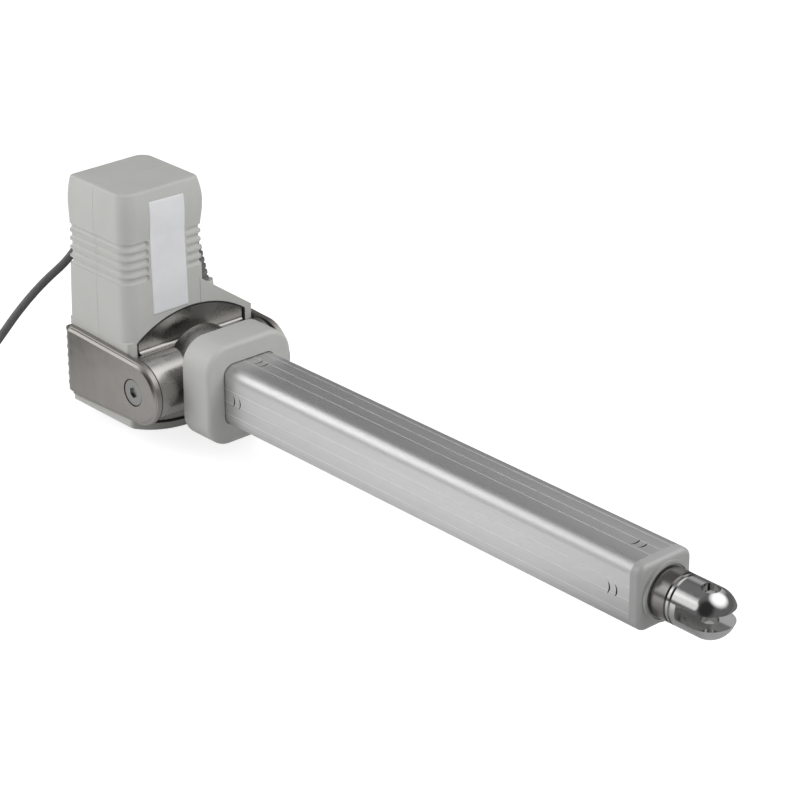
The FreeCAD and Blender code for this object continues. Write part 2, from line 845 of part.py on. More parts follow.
def gear_housing():
    """Front casting: arched flange, cross barrel, neck for the tube and the gear block behind."""
    body = new_body("gear_housing")
    flange = sketch_on(body, "YZ_Plane", "flange_section", FLANGE_BACK)
    arch_outline(flange, "gasket_width")
    pad(body, flange, "flange_thickness")
    barrel = sketch_on(body, "XZ_Plane", "barrel_section")
    circle(barrel, "barrel_radius", BARREL_X, "barrel_height")
    pad(body, barrel, "2 * (arch_half - 2 * gasket_width)", both_ways=True)
    neck = (
        (NECK_REAR, "0"),
        (TUBE_REAR, "0"),
        (TUBE_REAR, "neck_radius"),
        (f"{NECK_REAR} + neck_round", "neck_radius"),
        (NECK_REAR, "neck_radius - neck_round"),
    )
    add_turned(body, "neck", neck, {3: ("neck_round", False)})
    at_flange = at_height(FLANGE_FRONT, "x")
    barrel_end_y = number("arch_half - 2 * gasket_width") - 0.5
    lowest, highest = number("-gear_block_half"), number("gear_block_half")

    def on_flange_face(edge):
        middle = edge.valueAt((edge.FirstParameter + edge.LastParameter) / 2)
        return at_flange(edge) and abs(middle.y) < barrel_end_y and lowest < middle.z < highest

    round_edges(body, on_flange_face, "casting_fillet")
    ends = sketch_on(body, "XZ_Plane", "barrel_end_section")
    chord = f"({COVER_FRONT} + barrel_relief)"
    rise = "sqrt(barrel_radius ^ 2 - (barrel_ahead - barrel_relief) ^ 2)"
    corners = ((chord, f"barrel_height - {rise}"), (chord, f"barrel_height + {rise}"))
    barrel_end(ends, corners)
    pad(body, ends, "2 * cover_half", both_ways=True)
    block = sketch_on(body, "YZ_Plane", "block_section", GEAR_SPLIT)
    block_outline(block)
    pad(body, block, f"{FLANGE_BACK} - {GEAR_SPLIT}")
    spigot = sketch_on(body, "YZ_Plane", "spigot_section", TUBE_REAR)
    spigot_half = "(tube_bore_half - spigot_fit)"
    rounded_rectangle(spigot, spigot_half, spigot_half, "(tube_bore_corner - spigot_fit)")
    pad(body, spigot, "spigot_length")
    housing_bores(body)
    return body


def barrel_end(sketch, corners):
    """The part of the barrel that stands in front of the covers: a chord and the arc before it."""
    low, high = (Vector(number(x), number(z), 0) for x, z in corners)
    centre = Vector(number(BARREL_X), number("barrel_height"), 0)
    turn = math.atan2(high.y - centre.y, high.x - centre.x)
    ring = Part.Circle(centre, Vector(0, 0, 1), number("barrel_radius"))
    sketch.addGeometry(Part.ArcOfCircle(ring, -turn, turn), False)
    sketch.addGeometry(Part.LineSegment(high, low), False)
    sketch.addConstraint(Sketcher.Constraint("Coincident", 0, 2, 1, 1))
    sketch.addConstraint(Sketcher.Constraint("Coincident", 1, 2, 0, 1))
    sketch.addConstraint(Sketcher.Constraint("Vertical", 1))
    fix_point(sketch, 0, 3, BARREL_X, "barrel_height")
    fix(sketch, "Radius", "barrel_radius", 0)
    fix(sketch, "DistanceX", corners[0][0], -1, 1, 1, 1)


def housing_bores(body):
    chamber = "wheel_tip_radius + chamber_play"
    bore(body, "gear_chamber", chamber, GEAR_SPLIT, f"{BEARING_REAR} - {GEAR_SPLIT}")
    bore(body, "bearing_seat", "bearing_radius", BEARING_REAR, "bearing_width")
    reach = f"{TUBE_REAR} - {BEARING_FRONT} + spigot_length"
    bore(body, "spindle_hole", "spindle_hole_radius", BEARING_FRONT, reach)
    nut_room = f"{NUT_FRONT} - nut_length - guide_start"
    bore(body, "nut_room", "nut_radius + guide_play", nut_room, f"{GUIDE_REAR} - ({nut_room})")
    foot = "worm_foot + worm_bush_length"
    upright_bore(body, "worm_well", "worm_bore_radius", foot, f"motor_base - ({foot})")
    upright_bore(body, "worm_bush_seat", "worm_bush_radius", "worm_foot", "worm_bush_length")
    for index, (y, z) in enumerate(screw_places()):
        depth = f"screw_length - ({GEAR_COVER_DEPTH} - screw_head_height)"
        bore(body, f"screw_hole_{index}", "screw_radius", GEAR_SPLIT, depth, y, z)
    bolts = sketch_on(body, "XZ_Plane", "bolt_holes", "-cover_half")
    circle(bolts, "bolt_shank_radius", BARREL_X, "barrel_height")
    depth = f"bolt_shank_length - ({BOLT_SEAT} - cover_half)"
    left = pocket(body, bolts, depth, reverse=True)
    mirrored = body.newObject("PartDesign::Mirrored", "bolt_holes_both")
    mirrored.Originals = [left]
    mirrored.MirrorPlane = (origin_feature(body, "XZ_Plane"), [""])
    body.Tip = mirrored
    doc.recompute()


def gear_cover():
    """Rear casting that closes the gear block."""
    body = new_body("gear_cover")
    block = sketch_on(body, "YZ_Plane", "cover_block_section", GEAR_COVER_REAR)
    block_outline(block)
    pad(body, block, GEAR_COVER_DEPTH)
    bush_radius = "(spindle_journal_radius + running_play + rear_bush_wall)"
    room = f"({LOCK_REAR} - chamber_play)"
    bore(body, "lock_nut_room", "lock_nut_radius + chamber_play", room, f"{GEAR_SPLIT} - {room}")
    seat = f"{room} - rear_bush_length"
    bore(body, "rear_bush_seat", bush_radius, seat, "rear_bush_length")
    for index, (y, z) in enumerate(screw_places()):
        rear = GEAR_COVER_REAR
        bore(body, f"cover_screw_hole_{index}", "screw_radius", rear, GEAR_COVER_DEPTH, y, z)
        bore(body, f"cover_screw_sink_{index}", "screw_head_radius", rear, "screw_head_height", y, z)
    return body


def housing_screws():
    screws = []
    for index, (y, z) in enumerate(screw_places()):
        neck = f"({GEAR_COVER_REAR} + screw_head_height)"
        profile = (
            (GEAR_COVER_REAR, "0"),
            (GEAR_COVER_REAR, "screw_head_radius"),
            (neck, "screw_head_radius"),
            (neck, "screw_radius"),
            (f"{neck} + screw_length", "screw_radius"),
            (f"{neck} + screw_length", "0"),
        )
        screw = turned(f"housing_screw_{index}", profile)
        place(screw, "0", y, z)
        screws.append(screw)
    return group("housing_screws", screws)


# Yoke and rear head

def rear_yoke():
    """Strap round the back of the covers, with arms that taper to the barrel and ribs across its back."""
    body = new_body("rear_yoke")
    place(body, "0", "0", "barrel_height")
    outer = "(cover_half + yoke_thickness)"
    tip = f"({YOKE_END} + yoke_half_height)"
    strap = sketch_on(body, "XY_Plane", "yoke_section")
    corners = (
        (tip, f"-{outer}"),
        (tip, "-cover_half"),
        (YOKE_SEAT, "-cover_half"),
        (YOKE_SEAT, "cover_half"),
        (tip, "cover_half"),
        (tip, outer),
        (YOKE_BACK, outer),
        (YOKE_BACK, f"-{outer}"),
    )
    outline(strap, corners)
    pad(body, strap, "2 * yoke_rear_half", both_ways=True)
    ends = sketch_on(body, "XZ_Plane", "yoke_end_cut")
    past = f"({tip} + yoke_thickness)"
    over = "(yoke_rear_half + yoke_thickness)"
    taper_start = f"({YOKE_BACK} + 2 * yoke_corner)"
    end_cut = (
        (YOKE_END, "yoke_half_height"),
        (taper_start, "yoke_rear_half"),
        (taper_start, over),
        (past, over),
        (past, f"-{over}"),
        (taper_start, f"-{over}"),
        (taper_start, "-yoke_rear_half"),
        (YOKE_END, "-yoke_half_height"),
    )
    yoke_end(ends, end_cut)
    pocket(body, ends, f"4 * {outer}", both_ways=True)
    back_value, side_value = number(YOKE_BACK), number(outer)

    def back_corner(edge):
        ends = [vertex.Point for vertex in edge.Vertexes]
        return len(ends) == 2 and abs(ends[0].y - ends[1].y) < 1e-3 and all(
            abs(end.x - back_value) < 1e-3 and abs(abs(end.y) - side_value) < 1e-3 for end in ends
        )

    round_edges(body, back_corner, "yoke_corner")
    corner_end = number(f"{YOKE_BACK} + yoke_corner")

    def arm_face_edge(edge):
        on_face = all(abs(abs(vertex.Point.y) - side_value) < 1e-3 for vertex in edge.Vertexes)
        same_side = abs(abs(edge.CenterOfMass.y) - side_value) < 1e-3
        return on_face and same_side and abs(edge.CenterOfMass.x - corner_end) > 1e-3

    round_edges(body, arm_face_edge, "yoke_bevel", "PartDesign::Chamfer")
    yoke_ribs(body)
    yoke_holes(body, outer)
    return body


def yoke_end(sketch, corners):
    """What is cut away above and below the tapering arms and round their ends."""
    points = [Vector(number(x), number(z), 0) for x, z in corners]
    for start, end in zip(points, points[1:]):
        sketch.addGeometry(Part.LineSegment(start, end), False)
    last = len(points) - 1
    ring = Part.Circle(Vector(number(YOKE_END), 0, 0), Vector(0, 0, 1), number("yoke_half_height"))
    sketch.addGeometry(Part.ArcOfCircle(ring, -math.pi / 2, math.pi / 2), False)
    for side in range(last - 1):
        sketch.addConstraint(Sketcher.Constraint("Coincident", side, 2, side + 1, 1))
    sketch.addConstraint(Sketcher.Constraint("Coincident", last - 1, 2, last, 1))
    sketch.addConstraint(Sketcher.Constraint("Coincident", last, 2, 0, 1))
    for side, (x, z) in enumerate(corners[:-1]):
        fix_point(sketch, side, 1, x, z)
    fix_point(sketch, last, 3, YOKE_END, "0")
    fix(sketch, "DistanceX", corners[-1][0], -1, 1, last - 1, 2)


def yoke_ribs(body):
    low = "-yoke_rib_pitch * (yoke_rib_count - 1) / 2"
    rib = sketch_on(body, "XZ_Plane", "yoke_rib")
    circle(rib, "yoke_rib_radius", YOKE_BACK, low)
    first = pad(body, rib, "2 * (cover_half + yoke_thickness - yoke_rib_end)", both_ways=True)
    linear(body, [first], "Z_Axis", "yoke_rib_pitch", "yoke_rib_count")
    seat = sketch_on(body, "YZ_Plane", "head_seat", f"{YOKE_BACK} - 2 * yoke_rib_radius")
    circle(seat, "push_radius + rear_seat_play", "0", "-barrel_height")
    pocket(body, seat, "2 * yoke_rib_radius", reverse=True)


def yoke_holes(body, outer):
    """Sunk seats and holes for the two yoke bolts."""
    reach = f"2 * {outer}"
    hole = sketch_on(body, "XZ_Plane", "yoke_bolt_hole")
    circle(hole, "bolt_shank_radius + running_play", BARREL_X, "0")
    pocket(body, hole, f"2 * {reach}", both_ways=True)
    for label, side, reverse in (("right", BOLT_SEAT, False), ("left", f"-{BOLT_SEAT}", True)):
        sink = sketch_on(body, "XZ_Plane", f"yoke_bolt_sink_{label}", f"-({side})")
        circle(sink, "bolt_head_radius + bolt_play", BARREL_X, "0")
        pocket(body, sink, "2 * bolt_sink", reverse=reverse)


def yoke_bolts():
    bolts = []
    top = "bolt_head_height"
    profile = (
        ("-bolt_shank_length", "0"),
        (top, "0"),
        (top, "bolt_head_radius"),
        ("0", "bolt_head_radius"),
        ("0", "bolt_shank_radius"),
        ("-bolt_shank_length", "bolt_shank_radius"),
    )
    for label, sign in (("left", -1), ("right", 1)):
        bolt = turned(f"yoke_bolt_{label}", profile, axis="Z")
        socket = sketch_on(bolt, "XY_Plane", f"bolt_socket_{label}", top)
        outline(socket, hexagon("bolt_socket"))
        pocket(bolt, socket, "bolt_socket_depth")
        place(bolt, BARREL_X, f"{sign} * {BOLT_SEAT}", "barrel_height")
        bolt.Placement.Rotation = FreeCAD.Rotation(Vector(1, 0, 0), -90 * sign)
        bolts.append(bolt)
    return group("yoke_bolts", bolts)


def fork_cuts(head, bore_x, slot_low, slot_length):
    """Slots a turned head across and bores it through both ears."""
    label = head.Label
    slot = sketch_on(head, "XY_Plane", f"{label}_slot")
    wide = "2 * push_radius"
    ends = (slot_low, f"({slot_low}) + {slot_length}")
    outline(
        slot, ((ends[0], f"-{wide}"), (ends[1], f"-{wide}"), (ends[1], wide), (ends[0], wide))
    )
    pocket(head, slot, "fork_slot", both_ways=True)
    hole = sketch_on(head, "XY_Plane", f"{label}_bore")
    circle(hole, "fork_bore_radius", bore_x)
    pocket(head, hole, "4 * push_radius", both_ways=True)
    return head


def front_fork():
    """Head of the push tube: plug, two thin rings, cylinder and domed ears."""
    root = f"({PUSH_FRONT} - fork_plug)"
    rings = []
    start = PUSH_FRONT
    for _ in range(2):
        groove_end = f"({start} + fork_ring_gap)"
        ring_end = f"({groove_end} + fork_ring)"
        rings += [
            (start, "fork_neck_radius"),
            (groove_end, "fork_neck_radius"),
            (groove_end, "push_radius"),
            (ring_end, "push_radius"),
        ]
        start = ring_end
    body_end = f"({FORK_BASE} + fork_body)"
    tip = f"({body_end} + fork_nose)"
    tip_radius = "(push_radius - fork_nose)"
    profile = [(root, "0"), (root, PUSH_BORE), (PUSH_FRONT, PUSH_BORE), *rings[:-1]]
    profile += [(body_end, "push_radius"), (tip, tip_radius), (tip, "0")]
    nose_side = len(profile) - 3
    head = turned("front_fork", profile, {nose_side: ("fork_nose", True)})
    return fork_cuts(head, FORK_BORE, f"{FORK_BORE} - fork_slot_reach", "4 * push_radius")


def rear_head():
    """Fixed head on the back of the yoke, with its bore at the origin."""
    tip = "-fork_nose"
    profile = (
        (YOKE_BACK, "0"),
        (tip, "0"),
        (tip, "push_radius - fork_nose"),
        ("0", "push_radius"),
        (YOKE_BACK, "push_radius"),
    )
    head = turned("rear_head", profile, {2: ("fork_nose", True)})
    return fork_cuts(head, "0", "fork_slot_reach - 4 * push_radius", "4 * push_radius")


# Collar, tube and end cap

def collar():
    body = new_body("collar")
    rear = f"({TUBE_REAR} - collar_reach)"
    form = sketch_on(body, "YZ_Plane", "collar_section", rear)
    rounded_rectangle(form, "collar_half_width", "collar_half_height", "collar_corner")
    pad(body, form, "collar_length")
    front = f"{rear} + collar_length"
    round_edges(body, at_height(front, "x"), "collar_edge")
    round_edges(body, at_height(rear, "x"), "collar_edge / 2")
    hole = sketch_on(body, "YZ_Plane", "collar_hole", TUBE_REAR)
    hole_half = "(tube_half + collar_gap)"
    rounded_rectangle(hole, hole_half, hole_half, "(tube_corner + collar_gap)")
    pocket(body, hole, "2 * collar_length", reverse=True)
    bore(body, "collar_neck_bore", "neck_radius + running_play", rear, "collar_reach")
    return body


def outer_tube():
    """Extruded square tube with fine lines along each face."""
    body = new_body("outer_tube")
    section = sketch_on(body, "YZ_Plane", "tube_section", TUBE_REAR)
    rounded_rectangle(section, "tube_half", "tube_half", "tube_corner")
    length = f"{TUBE_FRONT} - {TUBE_REAR}"
    pad(body, section, length)
    hollow = sketch_on(body, "YZ_Plane", "tube_hollow", TUBE_REAR)
    rounded_rectangle(hollow, "tube_bore_half", "tube_bore_half", "tube_bore_corner")
    pocket(body, hollow, length, reverse=True)
    top = [tube_line(body, f"top_line_{index}", index, "line_shift_top", length) for index in (-1, 0, 1)]
    side = [tube_line(body, f"side_line_{index}", index, "line_shift_side", length) for index in (-1, 0, 1)]
    polar(body, top + side, "X_Axis", "2")
    polar(body, [stakes(body)], "X_Axis", "4")
    return body


def tube_line(body, label, index, shift, length):
    """A fine groove along the tube's top or left face."""
    near = f"({shift} + {index} * line_pitch - line_width / 2)"
    far = f"({shift} + {index} * line_pitch + line_width / 2)"
    middle = f"({shift} + {index} * line_pitch)"
    past, floor = "(tube_half + line_depth)", "(tube_half - line_depth)"
    corners = [(near, past), (near, "tube_half"), (middle, floor), (far, "tube_half"), (far, past)]
    if shift == "line_shift_side":
        corners = [(f"-{height}", across) for across, height in corners]
    line = sketch_on(body, "YZ_Plane", label.replace("-1", "low"), TUBE_REAR)
    outline(line, corners)
    return pocket(body, line, length, reverse=True)


def stakes(body):
    """Curved staking marks near both ends, where the tube is pinched on to its inserts."""
    sketch = sketch_on(body, "XY_Plane", "tube_stakes", "tube_half")
    half = "stake_length / 2"
    bow_radius = "(({0}) / 2 + stake_length ^ 2 / (8 * ({0})))"
    outer = bow_radius.format("stake_bow + stake_width")
    inner = bow_radius.format("stake_bow")
    front = f"{TUBE_FRONT} - stake_front"
    rear = f"{TUBE_REAR} + stake_rear"
    for x in (front, f"{front} - stake_pitch", rear, f"{rear} + stake_pitch"):
        outline(sketch, ((x, f"-{half}"), (x, half)), {0: (outer, False), 1: (inner, True)})
    return pocket(body, sketch, "stake_depth")


def end_cap():
    body = new_body("end_cap")
    flange = sketch_on(body, "YZ_Plane", "cap_section", TUBE_FRONT)
    rounded_rectangle(flange, "tube_half", "tube_half", "tube_corner")
    pad(body, flange, "cap_flange")
    round_edges(body, at_height(CAP_FRONT, "x"), "cap_edge")
    rim = sketch_on(body, "YZ_Plane", "cap_rim_section", f"{CAP_FRONT} - cap_rim")
    circle(rim, "cap_rim_radius")
    pad(body, rim, "2 * cap_rim")
    plug = sketch_on(body, "YZ_Plane", "cap_plug_section", f"{TUBE_FRONT} - cap_plug")
    plug_half = "(tube_bore_half - spigot_fit)"
    rounded_rectangle(plug, plug_half, plug_half, "(tube_bore_corner - spigot_fit)")
    pad(body, plug, "cap_plug")
    back = f"{TUBE_FRONT} - cap_plug"
    through = "cap_plug + cap_flange + cap_rim"
    bore(body, "cap_bore", "push_radius + cap_bore_play", back, through)
    bush_start = f"{back} + bush_inset"
    bore(body, "cap_bush_seat", "push_radius + bush_wall", bush_start, "bush_length")
    seal_start = f"{CAP_FRONT} - seal_length"
    bore(body, "cap_seal_seat", "push_radius + seal_wall", seal_start, "seal_length + cap_rim")
    return body


def guide_bush():
    start = f"({TUBE_FRONT} - cap_plug + bush_inset)"
    inner = "push_radius + running_play"
    return sleeve("guide_bush", start, f"{start} + bush_length", inner, "push_radius + bush_wall")


def wiper_seal():
    """Seal ring with a lip that leans on the push tube."""
    start = f"({CAP_FRONT} - seal_length)"
    end = f"({CAP_FRONT} + cap_rim / 2)"
    profile = (
        (start, "push_radius + running_play"),
        (f"{start} + seal_lip", "push_radius + running_play"),
        (f"{start} + 2 * seal_lip", "push_radius + seal_wall / 2"),
        (f"{end} - seal_lip", "push_radius + seal_wall / 2"),
        (end, "push_radius + running_play"),
        (end, "push_radius + seal_wall"),
        (start, "push_radius + seal_wall"),
    )
    return turned("wiper_seal", profile)


# Push tube group

def push_tube():
    return sleeve("push_tube", NUT_FRONT, PUSH_FRONT, PUSH_BORE, "push_radius")


def drive_nut():
    rear = f"({NUT_FRONT} - nut_length)"
    hole = "spindle_radius + running_play"
    profile = (
        (rear, hole),
        (f"{NUT_FRONT} + nut_neck", hole),
        (f"{NUT_FRONT} + nut_neck", PUSH_BORE),
        (NUT_FRONT, PUSH_BORE),
        (NUT_FRONT, "nut_radius"),
        (rear, "nut_radius"),
    )
    return turned("drive_nut", profile)


def guide_ring():
    """Square ring that keeps the push tube from turning, with one corner cut back for the switches."""
    body = new_body("guide_ring")
    section = sketch_on(body, "YZ_Plane", "guide_section", GUIDE_REAR)
    half = "(tube_bore_half - guide_play)"
    rounded_rectangle(section, half, half, "(tube_bore_corner - guide_play)")
    pad(body, section, "guide_length")
    corner = sketch_on(body, "YZ_Plane", "guide_corner", GUIDE_REAR)
    near = "(guide_flat * sqrt(2) - 2 * tube_bore_half)"
    far = "2 * tube_bore_half"
    outline(corner, ((near, far), (far, near), (far, far)))
    pocket(body, corner, "guide_length", reverse=True)
    bore(body, "guide_bore", "push_radius", GUIDE_REAR, "guide_length")
    return body


# Spindle group

def spindle():
    rear = f"({LOCK_REAR} - chamber_play - rear_bush_length)"
    end = f"({TUBE_FRONT} - cap_plug - spindle_end_gap)"
    profile = (
        (rear, "0"),
        (rear, "spindle_journal_radius"),
        (LOCK_REAR, "spindle_journal_radius"),
        (LOCK_REAR, "spindle_seat_radius"),
        (BEARING_FRONT, "spindle_seat_radius"),
        (BEARING_FRONT, "spindle_radius"),
        (f"{end} - spindle_radius / 3", "spindle_radius"),
        (end, "spindle_radius * 2 / 3"),
        (end, "0"),
    )
    return turned("spindle", profile)


def worm_wheel():
    hub_rear = f"({WHEEL_REAR} - wheel_hub_rear)"
    profile = (
        (hub_rear, "spindle_seat_radius"),
        (BEARING_REAR, "spindle_seat_radius"),
        (BEARING_REAR, "wheel_hub_radius * 0.9"),
        (WHEEL_FRONT, "wheel_hub_radius"),
        (WHEEL_FRONT, "wheel_tip_radius"),
        (WHEEL_REAR, "wheel_tip_radius"),
        (WHEEL_REAR, "wheel_hub_radius"),
        (hub_rear, "wheel_hub_radius"),
    )
    body = turned("worm_wheel", profile)
    gash = sketch_on(body, "YZ_Plane", "tooth_gap", WHEEL_REAR)
    pitch = "wheel_tip_radius * 3.14159 / wheel_teeth"
    root = "(wheel_tip_radius - wheel_tooth)"
    corners = (
        (f"-0.3 * {pitch}", root),
        (f"0.3 * {pitch}", root),
        (f"0.75 * {pitch}", "wheel_tip_radius + wheel_tooth"),
        (f"-0.75 * {pitch}", "wheel_tip_radius + wheel_tooth"),
    )
    outline(gash, corners)
    cut = pocket(body, gash, "wheel_width", reverse=True)
    polar(body, [cut], "X_Axis", "wheel_teeth")
    return body


def lock_nut():
    """Hexagon nut that holds the worm wheel and the bearing on the spindle."""
    body = new_body("lock_nut")
    sketch = sketch_on(body, "YZ_Plane", "lock_nut_section", LOCK_REAR)
    outline(sketch, hexagon("lock_nut_radius"))
    pad(body, sketch, "lock_nut_length")
    bore(body, "lock_nut_bore", "spindle_seat_radius", LOCK_REAR, "lock_nut_length")
    return body


def bearing_race(label, inner, outer, track_on_outer):
    """A bearing ring with a round track for the balls."""
    middle = f"({BEARING_REAR} + bearing_width / 2)"
    track = "(ball_radius + ball_play)"
    edge = outer if track_on_outer else inner
    reach = f"sqrt({track} ^ 2 - ({BALL_CIRCLE} - ({edge})) ^ 2)"
    start, end = (f"({middle} - {reach})", f"({middle} + {reach})")
    if track_on_outer:
        profile = (
            (BEARING_REAR, inner), (BEARING_FRONT, inner), (BEARING_FRONT, outer),
            (end, outer), (start, outer), (BEARING_REAR, outer),
        )
        return turned(label, profile, {3: (track, True)})
    profile = (
        (BEARING_REAR, inner), (start, inner), (end, inner), (BEARING_FRONT, inner),
        (BEARING_FRONT, outer), (BEARING_REAR, outer),
    )
    return turned(label, profile, {1: (track, True)})


def bearing_balls():
    balls = []
    count = int(number("ball_count"))
    for index in range(count):
        ball = doc.addObject("Part::Sphere", f"ball_{index}")
        bind(ball, Radius="ball_radius")
        angle = f"{360 / count * index}"
        place(
            ball, f"{BEARING_REAR} + bearing_width / 2",
            f"{BALL_CIRCLE} * cos({angle})", f"{BALL_CIRCLE} * sin({angle})",
        )
        balls.append(ball)
    return group("bearing_balls", balls)


def rear_bush():
    end = f"({LOCK_REAR} - chamber_play)"
    inner = "spindle_journal_radius + running_play"
    return sleeve(
        "spindle_rear_bush", f"{end} - rear_bush_length", end, inner, f"{inner} + rear_bush_wall"
    )


# Motor

def on_motor_axis(item):
    place(item, MOTOR_X, "motor_offset")
    return item


def motor_can():
    floor = "(motor_base + motor_floor)"
    profile = (
        ("motor_base", "motor_bush_radius"),
        ("motor_base", MOTOR_RADIUS),
        (MOTOR_TOP, MOTOR_RADIUS),
        (MOTOR_TOP, CAN_BORE),
        (floor, CAN_BORE),
        (floor, "motor_bush_radius"),
    )
    return on_motor_axis(turned("motor_can", profile, axis="Z"))


def motor_bush():
    end = "(motor_base + 2 * motor_floor)"
    inner = "shaft_radius + running_play"
    return on_motor_axis(sleeve("motor_bush", "motor_base", end, inner, "motor_bush_radius", axis="Z"))


def end_bell():
    boss = f"({MOTOR_TOP} + motor_bell + motor_bell_boss)"
    profile = (
        (MOTOR_TOP, "shaft_radius + running_play"),
        (MOTOR_TOP, MOTOR_RADIUS),
        (f"{MOTOR_TOP} + motor_bell", CAN_BORE),
        (f"{MOTOR_TOP} + motor_bell", "motor_boss_radius"),
        (boss, "motor_boss_radius - motor_wall"),
        (boss, "0"),
        (f"{boss} - motor_wall", "0"),
        (f"{boss} - motor_wall", "shaft_radius + running_play"),
    )
    return on_motor_axis(turned("motor_end_bell", profile, axis="Z"))


def magnets():
    pieces = []
    for index, turn in enumerate((0, 180)):
        body = new_body(f"magnet_{index}")
        sketch = sketch_on(body, "XZ_Plane", f"magnet_profile_{index}")
        inner = f"({CAN_BORE} - magnet_thickness)"
        outline(
            sketch,
            ((inner, MAGNET_LOW), (CAN_BORE, MAGNET_LOW), (CAN_BORE, MAGNET_HIGH), (inner, MAGNET_HIGH)),
        )
        feature = body.newObject("PartDesign::Revolution", f"magnet_turn_{index}")
        feature.Profile = sketch
        feature.ReferenceAxis = (sketch, ["V_Axis"])
        feature.Midplane = True
        bind(feature, Angle="magnet_angle")
        on_motor_axis(body)
        body.Placement.Rotation = FreeCAD.Rotation(Vector(0, 0, 1), turn)
        pieces.append(body)
    return group("motor_magnets", pieces)


def rotor_core():
    """Slotted armature core."""
    body = sleeve("rotor_core", ROTOR_LOW, ROTOR_HIGH, "shaft_radius", ROTOR_RADIUS, axis="Z")
    slot = sketch_on(body, "XY_Plane", "rotor_slot", ROTOR_LOW)
    half = "rotor_slot_width / 2"
    near = f"{ROTOR_RADIUS} - rotor_slot_depth"
    far = f"{ROTOR_RADIUS} + rotor_slot_depth"
    outline(slot, ((near, f"-{half}"), (far, f"-{half}"), (far, half), (near, half)))
    cut = pocket(body, slot, f"{ROTOR_HIGH} - {ROTOR_LOW}", reverse=True)
    polar(body, [cut], "Z_Axis", "rotor_slots")
    return on_motor_axis(body)


def rotor_windings():
    """The coils' round ends above and below the core."""
    pieces = []
    inner = "(shaft_radius + motor_wall)"
    brim = "winding_height / 3"
    for label, face, sign in (("lower", ROTOR_LOW, "-"), ("upper", ROTOR_HIGH, "+")):
        end = f"{face} {sign} winding_height"
        profile = (
            (face, inner),
            (face, "winding_radius"),
            (f"{end} {'+' if sign == '-' else '-'} {brim}", "winding_radius"),
            (end, f"winding_radius - {brim}"),
            (end, inner),
        )
        pieces.append(on_motor_axis(turned(f"winding_{label}", profile, axis="Z")))
    return group("rotor_windings", pieces)


def commutator():
    top = f"({MOTOR_TOP} - motor_wall / 2)"
    low = f"{top} - commutator_length"
    return on_motor_axis(
        sleeve("commutator", low, top, "shaft_radius", "commutator_radius", axis="Z")
    )


def brush_middle():
    return f"({MOTOR_TOP} - motor_wall / 2 - commutator_length / 2)"


def brush_holder():
    low = f"({MOTOR_TOP} - motor_wall / 2 - commutator_length)"
    return on_motor_axis(
        sleeve("brush_holder", low, MOTOR_TOP, "holder_radius", CAN_BORE, axis="Z")
    )


def brushes():
    pieces = []
    reach = "(holder_radius * 0.98)"
    tip = "(commutator_radius + ball_play)"
    for index, turn in enumerate((0, 180)):
        brush = doc.addObject("Part::Box", f"brush_{index}")
        bind(brush, Length=f"{reach} - {tip}", Width="brush_width", Height="brush_height")
        brush.Placement.Rotation = FreeCAD.Rotation(Vector(0, 0, 1), turn)
        sign = 1 if turn == 0 else -1
        place(
            brush, f"{MOTOR_X} + {sign} * {tip}", f"motor_offset - {sign} * brush_width / 2",
            f"{brush_middle()} - brush_height / 2",
        )
        pieces.append(brush)
    return group("carbon_brushes", pieces)


def worm_shaft():
    """Motor shaft with the worm at its lower end."""
    top = f"({MOTOR_TOP} + motor_bell + motor_bell_boss - 2 * motor_wall)"
    half = "worm_length / 2"
    profile = (
        ("worm_foot", "0"),
        ("worm_foot", "shaft_radius"),
        (f"-{half}", "shaft_radius"),
        (f"-{half}", WORM_RADIUS),
        (half, WORM_RADIUS),
        (half, "shaft_radius"),
        (top, "shaft_radius"),
        (top, "0"),
    )
    return on_motor_axis(turned("worm_shaft", profile, axis="Z"))


def worm_bush():
    inner = "shaft_radius + running_play"
    end = "worm_foot + worm_bush_length"
    return on_motor_axis(sleeve("worm_bush", "worm_foot", end, inner, "worm_bush_radius", axis="Z"))


# Limit switches

def corner_box(label, start, length, width, near, height):
    """A block along X that lies across the tube's upper right corner."""
    item = doc.addObject("Part::Box", label)
    item.Label = label
    bind(item, Length=length, Width=width, Height=height)
    item.Placement.Rotation = FreeCAD.Rotation(Vector(1, 0, 0), -45)
    lean = "sqrt(0.5)"
    place(
        item, start, f"({near}) * {lean} - ({width}) / 2 * {lean}",
        f"({near}) * {lean} + ({width}) / 2 * {lean}",
    )
    return item


def switch_board():
    length = f"{TUBE_FRONT} - cap_plug - board_end_gap - ({TUBE_REAR} + board_start)"
    return corner_box(
        "limit_switch_board", f"{TUBE_REAR} + board_start", length, "board_width",
        "board_distance", "board_thickness",
    )


def switches():
    near = "board_distance - switch_height"
    front = f"{TUBE_FRONT} - cap_plug - board_end_gap - switch_length"
    return group(
        "limit_switches",
        [
            corner_box(label, start, "switch_length", "switch_width", near, "switch_height")
            for label, start in (("switch_in", f"{TUBE_REAR} + board_start"), ("switch_out", front))
        ],
    )


# Cable

def strain_relief():
    """Ribbed, tapered sleeve that stands on the shoulder's boss."""
    base = "0"
    count = int(number("relief_grooves"))
    taper = "(relief_base_radius - relief_top_radius)"
    step = f"(relief_height / {2 * count + 1})"
    profile = [(base, "0")]
    for ring in range(count + 1):
        radius = f"(relief_base_radius - {taper} * {ring} / {count})"
        low = f"{base} + {2 * ring} * {step}"
        high = f"{base} + {2 * ring + 1} * {step}"
        profile += [(low, radius), (high, radius)]
        if ring < count:
            waist = f"({radius} - {taper} / 2)"
            profile += [(high, waist), (f"{high} + {step}", waist)]
    profile.append((f"{base} + relief_height", "0"))
    body = turned("strain_relief", profile, axis="Z")
    body.Placement = relief_place("relief_boss_height")
    return body


